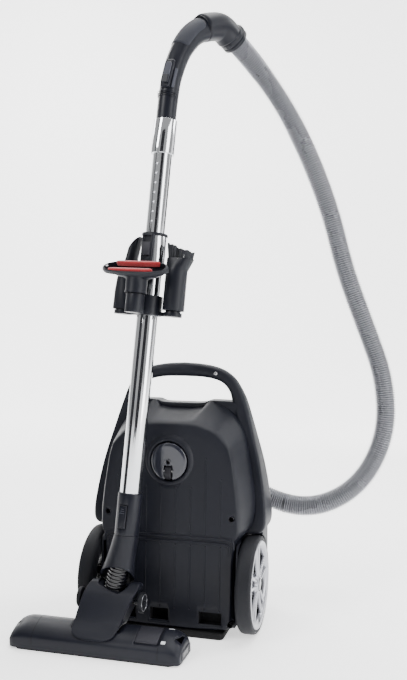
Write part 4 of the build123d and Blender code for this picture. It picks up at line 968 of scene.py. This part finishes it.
AWAY = around_handle(25)
block("latch_block", LATCH_AT + LATCH_AXIS * 1 + AWAY * 15.8, (50, 17.5, 10.4), "handle_plastic",
      "upper_wand", along=LATCH_AXIS, up=AWAY.cross(LATCH_AXIS), bevel=4.0, segments=5)
block("latch_ridge", LATCH_AT - LATCH_AXIS * 11.5 + AWAY * 23.2, (15, 12.6, 3.4),
      "handle_plastic", "handle_latch", "control_grey", along=LATCH_AXIS,
      up=AWAY.cross(LATCH_AXIS), bevel=1.4)
for k in range(3):
    lathe(f"handle_line_{k}", [(17.0, -0.6), (17.7, -0.35), (17.7, 0.35), (17.0, 0.6)],
          on_handle(4.6, 37 + 3.2 * k), LATCH_AXIS, "handle_plastic", "upper_wand", sides=64)

# grip pad: a soft patch on the outer half of the bend, with rounded corners
pad_from = min(range(count), key=lambda i: (handle_line[i] - on_handle(34, 125)).length)
pad_to = min(range(count), key=lambda i: (handle_line[i] - on_handle(77, 166)).length)
pad_frames = frames(handle_line)
grid = []
steps = pad_to - pad_from
for k in range(steps + 1):
    point, tangent, _, _ = pad_frames[pad_from + k]
    outward = Vector((0, 0, 1)) - BEND
    outward = (outward - tangent * outward.dot(tangent)).normalized()
    across = tangent.cross(outward)
    share = k / steps
    near = min(share, 1 - share) * steps * 1.5
    corner = 7.0 if share < 0.5 else 10.0
    cut = corner - sqrt(max(0, corner ** 2 - max(0, corner - near) ** 2))
    radius = handle_radius((pad_from + k) / count)
    half = radians(86) - cut / radius
    row = []
    for j in range(25):
        angle = half * (j / 12 - 1)
        edge = min(near, (half - abs(angle)) * radius)
        lift = 1.3 * min(1, edge / 1.4) ** 0.5
        row.append(point + (outward * cos(angle) + across * sin(angle))
                   * (radius + lift - 0.05))
    grid.append(row)
pad = skin("grip_patch", grid, "grip_grey", BODY_OF["grip_pad"], closed=False, smooth=60)
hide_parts("grip_pad")

# ------------------------------------------------------------------ accessories
ARM = 46.5
FACE_TURN = atan2(22, 25)
ALONG = FRONT * cos(FACE_TURN) - WAND * sin(FACE_TURN)
OUT = FRONT * sin(FACE_TURN) + WAND * cos(FACE_TURN)
FACE_AT = on_wand(602, ARM, -1.5) + FRONT * -3 + WAND * 18.5 + ALONG * 16.5


def boat_ring(centre, along, half_long, half_wide, power, flat):
    """Rounded outline across the tool: long way is the wand's side direction."""
    return [centre + SIDE * signed_power(cos(t), 2 / power) * half_long
            + along * signed_power(sin(t), 2 / flat) * half_wide for t in turns(72)]


tool_body = BODY_OF["upholstery_tool"]
rings = [boat_ring(FACE_AT - OUT * 9, ALONG, 53, 12, 3.2, 3.0),
         boat_ring(FACE_AT - OUT * 0.6, ALONG, 55, 14, 3.0, 2.6),
         boat_ring(FACE_AT, ALONG, 56.5, 16, 2.8, 2.4),
         boat_ring(FACE_AT - OUT * 0.8, ALONG, 58.5, 17.8, 2.6, 2.3),
         boat_ring(FACE_AT - OUT * 5, ALONG.lerp(FRONT, 0.1), 60, 18.2, 2.4, 2.2),
         boat_ring(FACE_AT - OUT * 9 - WAND, ALONG.lerp(FRONT, 0.3), 58.5, 18.6, 2.3, 2.1),
         boat_ring(on_wand(602, ARM - 1, -1), ALONG.lerp(FRONT, 0.7), 52, 18.2, 2.2, 2.0),
         boat_ring(on_wand(597.5, ARM), ALONG.lerp(FRONT, 0.9), 44, 17.6, 2, 2)]
rings += [boat_ring(on_wand(z, ARM), FRONT, half_long, half_wide, 2, 2)
          for z, half_long, half_wide in (
              (594, 33, 17.2), (592, 22, 17.2), (590, 17.8, 17.4), (572, 17.4, 17.4),
              (569, 18.1, 18.1), (568, 18.1, 18.1), (568, 13, 13), (590, 13, 13))]
boat = skin("upholstery_skin", rings, "tool_plastic", tool_body, caps=("start",), smooth=40)
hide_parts("upholstery_tool")
strip_body = BODY_OF["lint_strips"]
for k, (along, half, shift) in enumerate(((-12.0, 40, 1), (9.4, 40, -4))):
    at = FACE_AT + ALONG * along + SIDE * shift
    strip = [boat_ring(at - OUT * 6, ALONG, half, 3.0, 9, 2.4),
             boat_ring(at + OUT * 0.6, ALONG, half, 3.0, 9, 2.4),
             boat_ring(at + OUT * 1.7, ALONG, half - 1, 2.3, 9, 2.2),
             boat_ring(at + OUT * 2.1, ALONG, half - 2.2, 1.0, 9, 2)]
    red = skin(f"lint_strip_{k}", strip, "lint_red", strip_body, caps=BOTH, smooth=70)
    if not k:
        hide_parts("lint_strips")
lathe("tool_dot", [(0, 0.7), (1.6, 0.5), (2.1, -0.5)], FACE_AT - SIDE * 51 + OUT * 0.2, OUT,
      MARK, tool_body, "tool_plastic", sides=20)

# crevice tool: round neck to a flat tip that leans to the wand, cut on a slant
rings = []
for z, across, deep, shift in ((545, 17, 17, 0), (546, 17.2, 17.2, 0), (575, 16.6, 16.8, 0),
                               (596, 15.6, 16.4, 1), (608, 12.6, 15.8, 3), (618, 9.4, 15.2, 5),
                               (630, 8.2, 14.6, 7), (650, 7.8, 13.8, 10.5), (674, 7.6, 13, 14.5)):
    rings.append(boat_ring(on_wand(z, 0, shift - ARM), FRONT, across, deep, 2.4, 2.4))
crevice = skin("crevice_skin", rings, "tool_plastic", None, thick=2.0, smooth=60)
slant = [[on_wand(z, front, side) for z, front in ((low, -40), (low, 40), (700, 40), (700, -40))]
         for low, side in ((636, -50), (674, -20))]
crevice = carve(crevice, [skin("slant", slant, PAINTED_SHADE_AND_SEAM, None, caps=BOTH)])
dress(crevice, "tool_plastic", BODY_OF["crevice_tool"], "tool_plastic", 45)
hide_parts("crevice_tool")

# dusting brush: separate tufts round the mouth, cut on a slant
brush_at = on_wand(632, 0, ARM + 5)
brush_body = BODY_OF["brush_bristles"]
first = None
for k, t in enumerate(turns(30)):
    a = signed_power(cos(t), 0.62) * 18.6
    b = signed_power(sin(t), 0.62) * 11.6
    root = brush_at + SIDE * a + FRONT * b - WAND * 2
    lean = (WAND + SIDE * a * 0.006 + FRONT * b * 0.01).normalized()
    rings = []
    for reach, size in ((0, 1.5), (9, 1.7), (19.5 - 0.36 * a + 1.2 * sin(5 * k), 1.95)):
        rings.append(circle(root + lean * reach, SIDE, FRONT, size, 8))
    tuft = skin(f"tuft_{k}", rings, "bristle_dark", brush_body, caps=BOTH)
    first = first or tuft
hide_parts("brush_bristles")


# ------------------------------------------------------------------ stage, light and camera
def paper(name, colour, rough):
    mat = surface(name, colour, rough, tint=0.01, grain=200, bump=0.02)
    for node in mat.node_tree.nodes:
        if node.type == "BSDF_PRINCIPLED":
            node.inputs["Emission Color"].default_value = (1, 1, 1, 1)
            node.inputs["Emission Strength"].default_value = 1.0
    return mat


def backdrop():
    """Plain pale floor that sweeps up behind the object."""
    rings = []
    for x in (-9, 9):
        ring = [Vector((x, -8, 0)), Vector((x, 2.2, 0))]
        for i in range(13):
            angle = pi / 2 * i / 12
            ring.append(Vector((x, 2.4 + 1.8 * sin(angle), 1.8 * (1 - cos(angle)))))
        ring.append(Vector((x, 4.2, 9)))
        rings.append([p / MM for p in ring])
    obj = skin("backdrop", rings, paper("paper", (0.93, 0.93, 0.93), 0.9), None, closed=False)
    for polygon in obj.data.polygons:
        polygon.use_smooth = True


def softbox(name, place, target, size, power):
    light = bpy.data.lights.new(name, "AREA")
    light.shape = "RECTANGLE"
    light.size, light.size_y = size
    light.energy = power
    obj = bpy.data.objects.new(name, light)
    obj.location = place
    aim = Vector(target) - Vector(place)
    obj.rotation_euler = aim.to_track_quat("-Z", "Y").to_euler()
    bpy.context.scene.collection.objects.link(obj)


def flag(name, place, size, turn):
    """Dark card out of the picture, for the dark bands in the chrome."""
    w, h = size
    mat = surface("flag_" + name, (0.01, 0.01, 0.012), 0.9)
    verts = [(-w / 2, 0, 0), (w / 2, 0, 0), (w / 2, 0, h), (-w / 2, 0, h)]
    spin = Matrix.Rotation(radians(turn), 4, "Z")
    verts = [(Vector(place) + spin @ Vector(v)) / MM for v in verts]
    obj = piece("flag_" + name, verts, [(0, 1, 2, 3)], mat, None)


backdrop()
softbox("key", (-1.7, -2.3, 2.5), (0, 0, 0.5), (0.9, 2.2), 95)
softbox("fill", (1.9, -0.75, 0.95), (0, 0, 0.45), (0.9, 1.9), 42)
softbox("top", (0.2, 0.3, 3.2), (0, 0, 0.3), (2.6, 1.8), 110)
softbox("sweep_left", (-2.6, 1.9, 2.6), (-0.4, 4.0, 0.9), (2.0, 2.0), 150)
softbox("sweep_right", (2.6, 1.9, 2.6), (0.6, 4.0, 0.9), (2.0, 2.0), 150)
flag("left", (-1.25, -0.95, 0.1), (0.75, 1.9), 60)
flag("near_left", (-0.47, -0.46, 0.0), (0.36, 0.72), -47)
flag("right", (1.05, 1.7, 0.0), (0.7, 2.2), -30)
flag("behind", (0.55, -2.6, 0.0), (1.5, 2.4), 10)
world = bpy.data.worlds.new("studio")
world.use_nodes = True
world.node_tree.nodes["Background"].inputs["Color"].default_value = (1, 1, 1, 1)
world.node_tree.nodes["Background"].inputs["Strength"].default_value = 0.6
bpy.context.scene.world = world

camera = bpy.data.cameras.new("camera")
camera.lens = 43.41
camera.sensor_width = 36
camera.clip_end = 50
eye = bpy.data.objects.new("camera", camera)
eye.location = (0.4236, -1.310, 0.5496)
eye.rotation_euler = (radians(90 - 2.24), 0, radians(15.5))
bpy.context.scene.collection.objects.link(eye)
bpy.context.scene.camera = eye
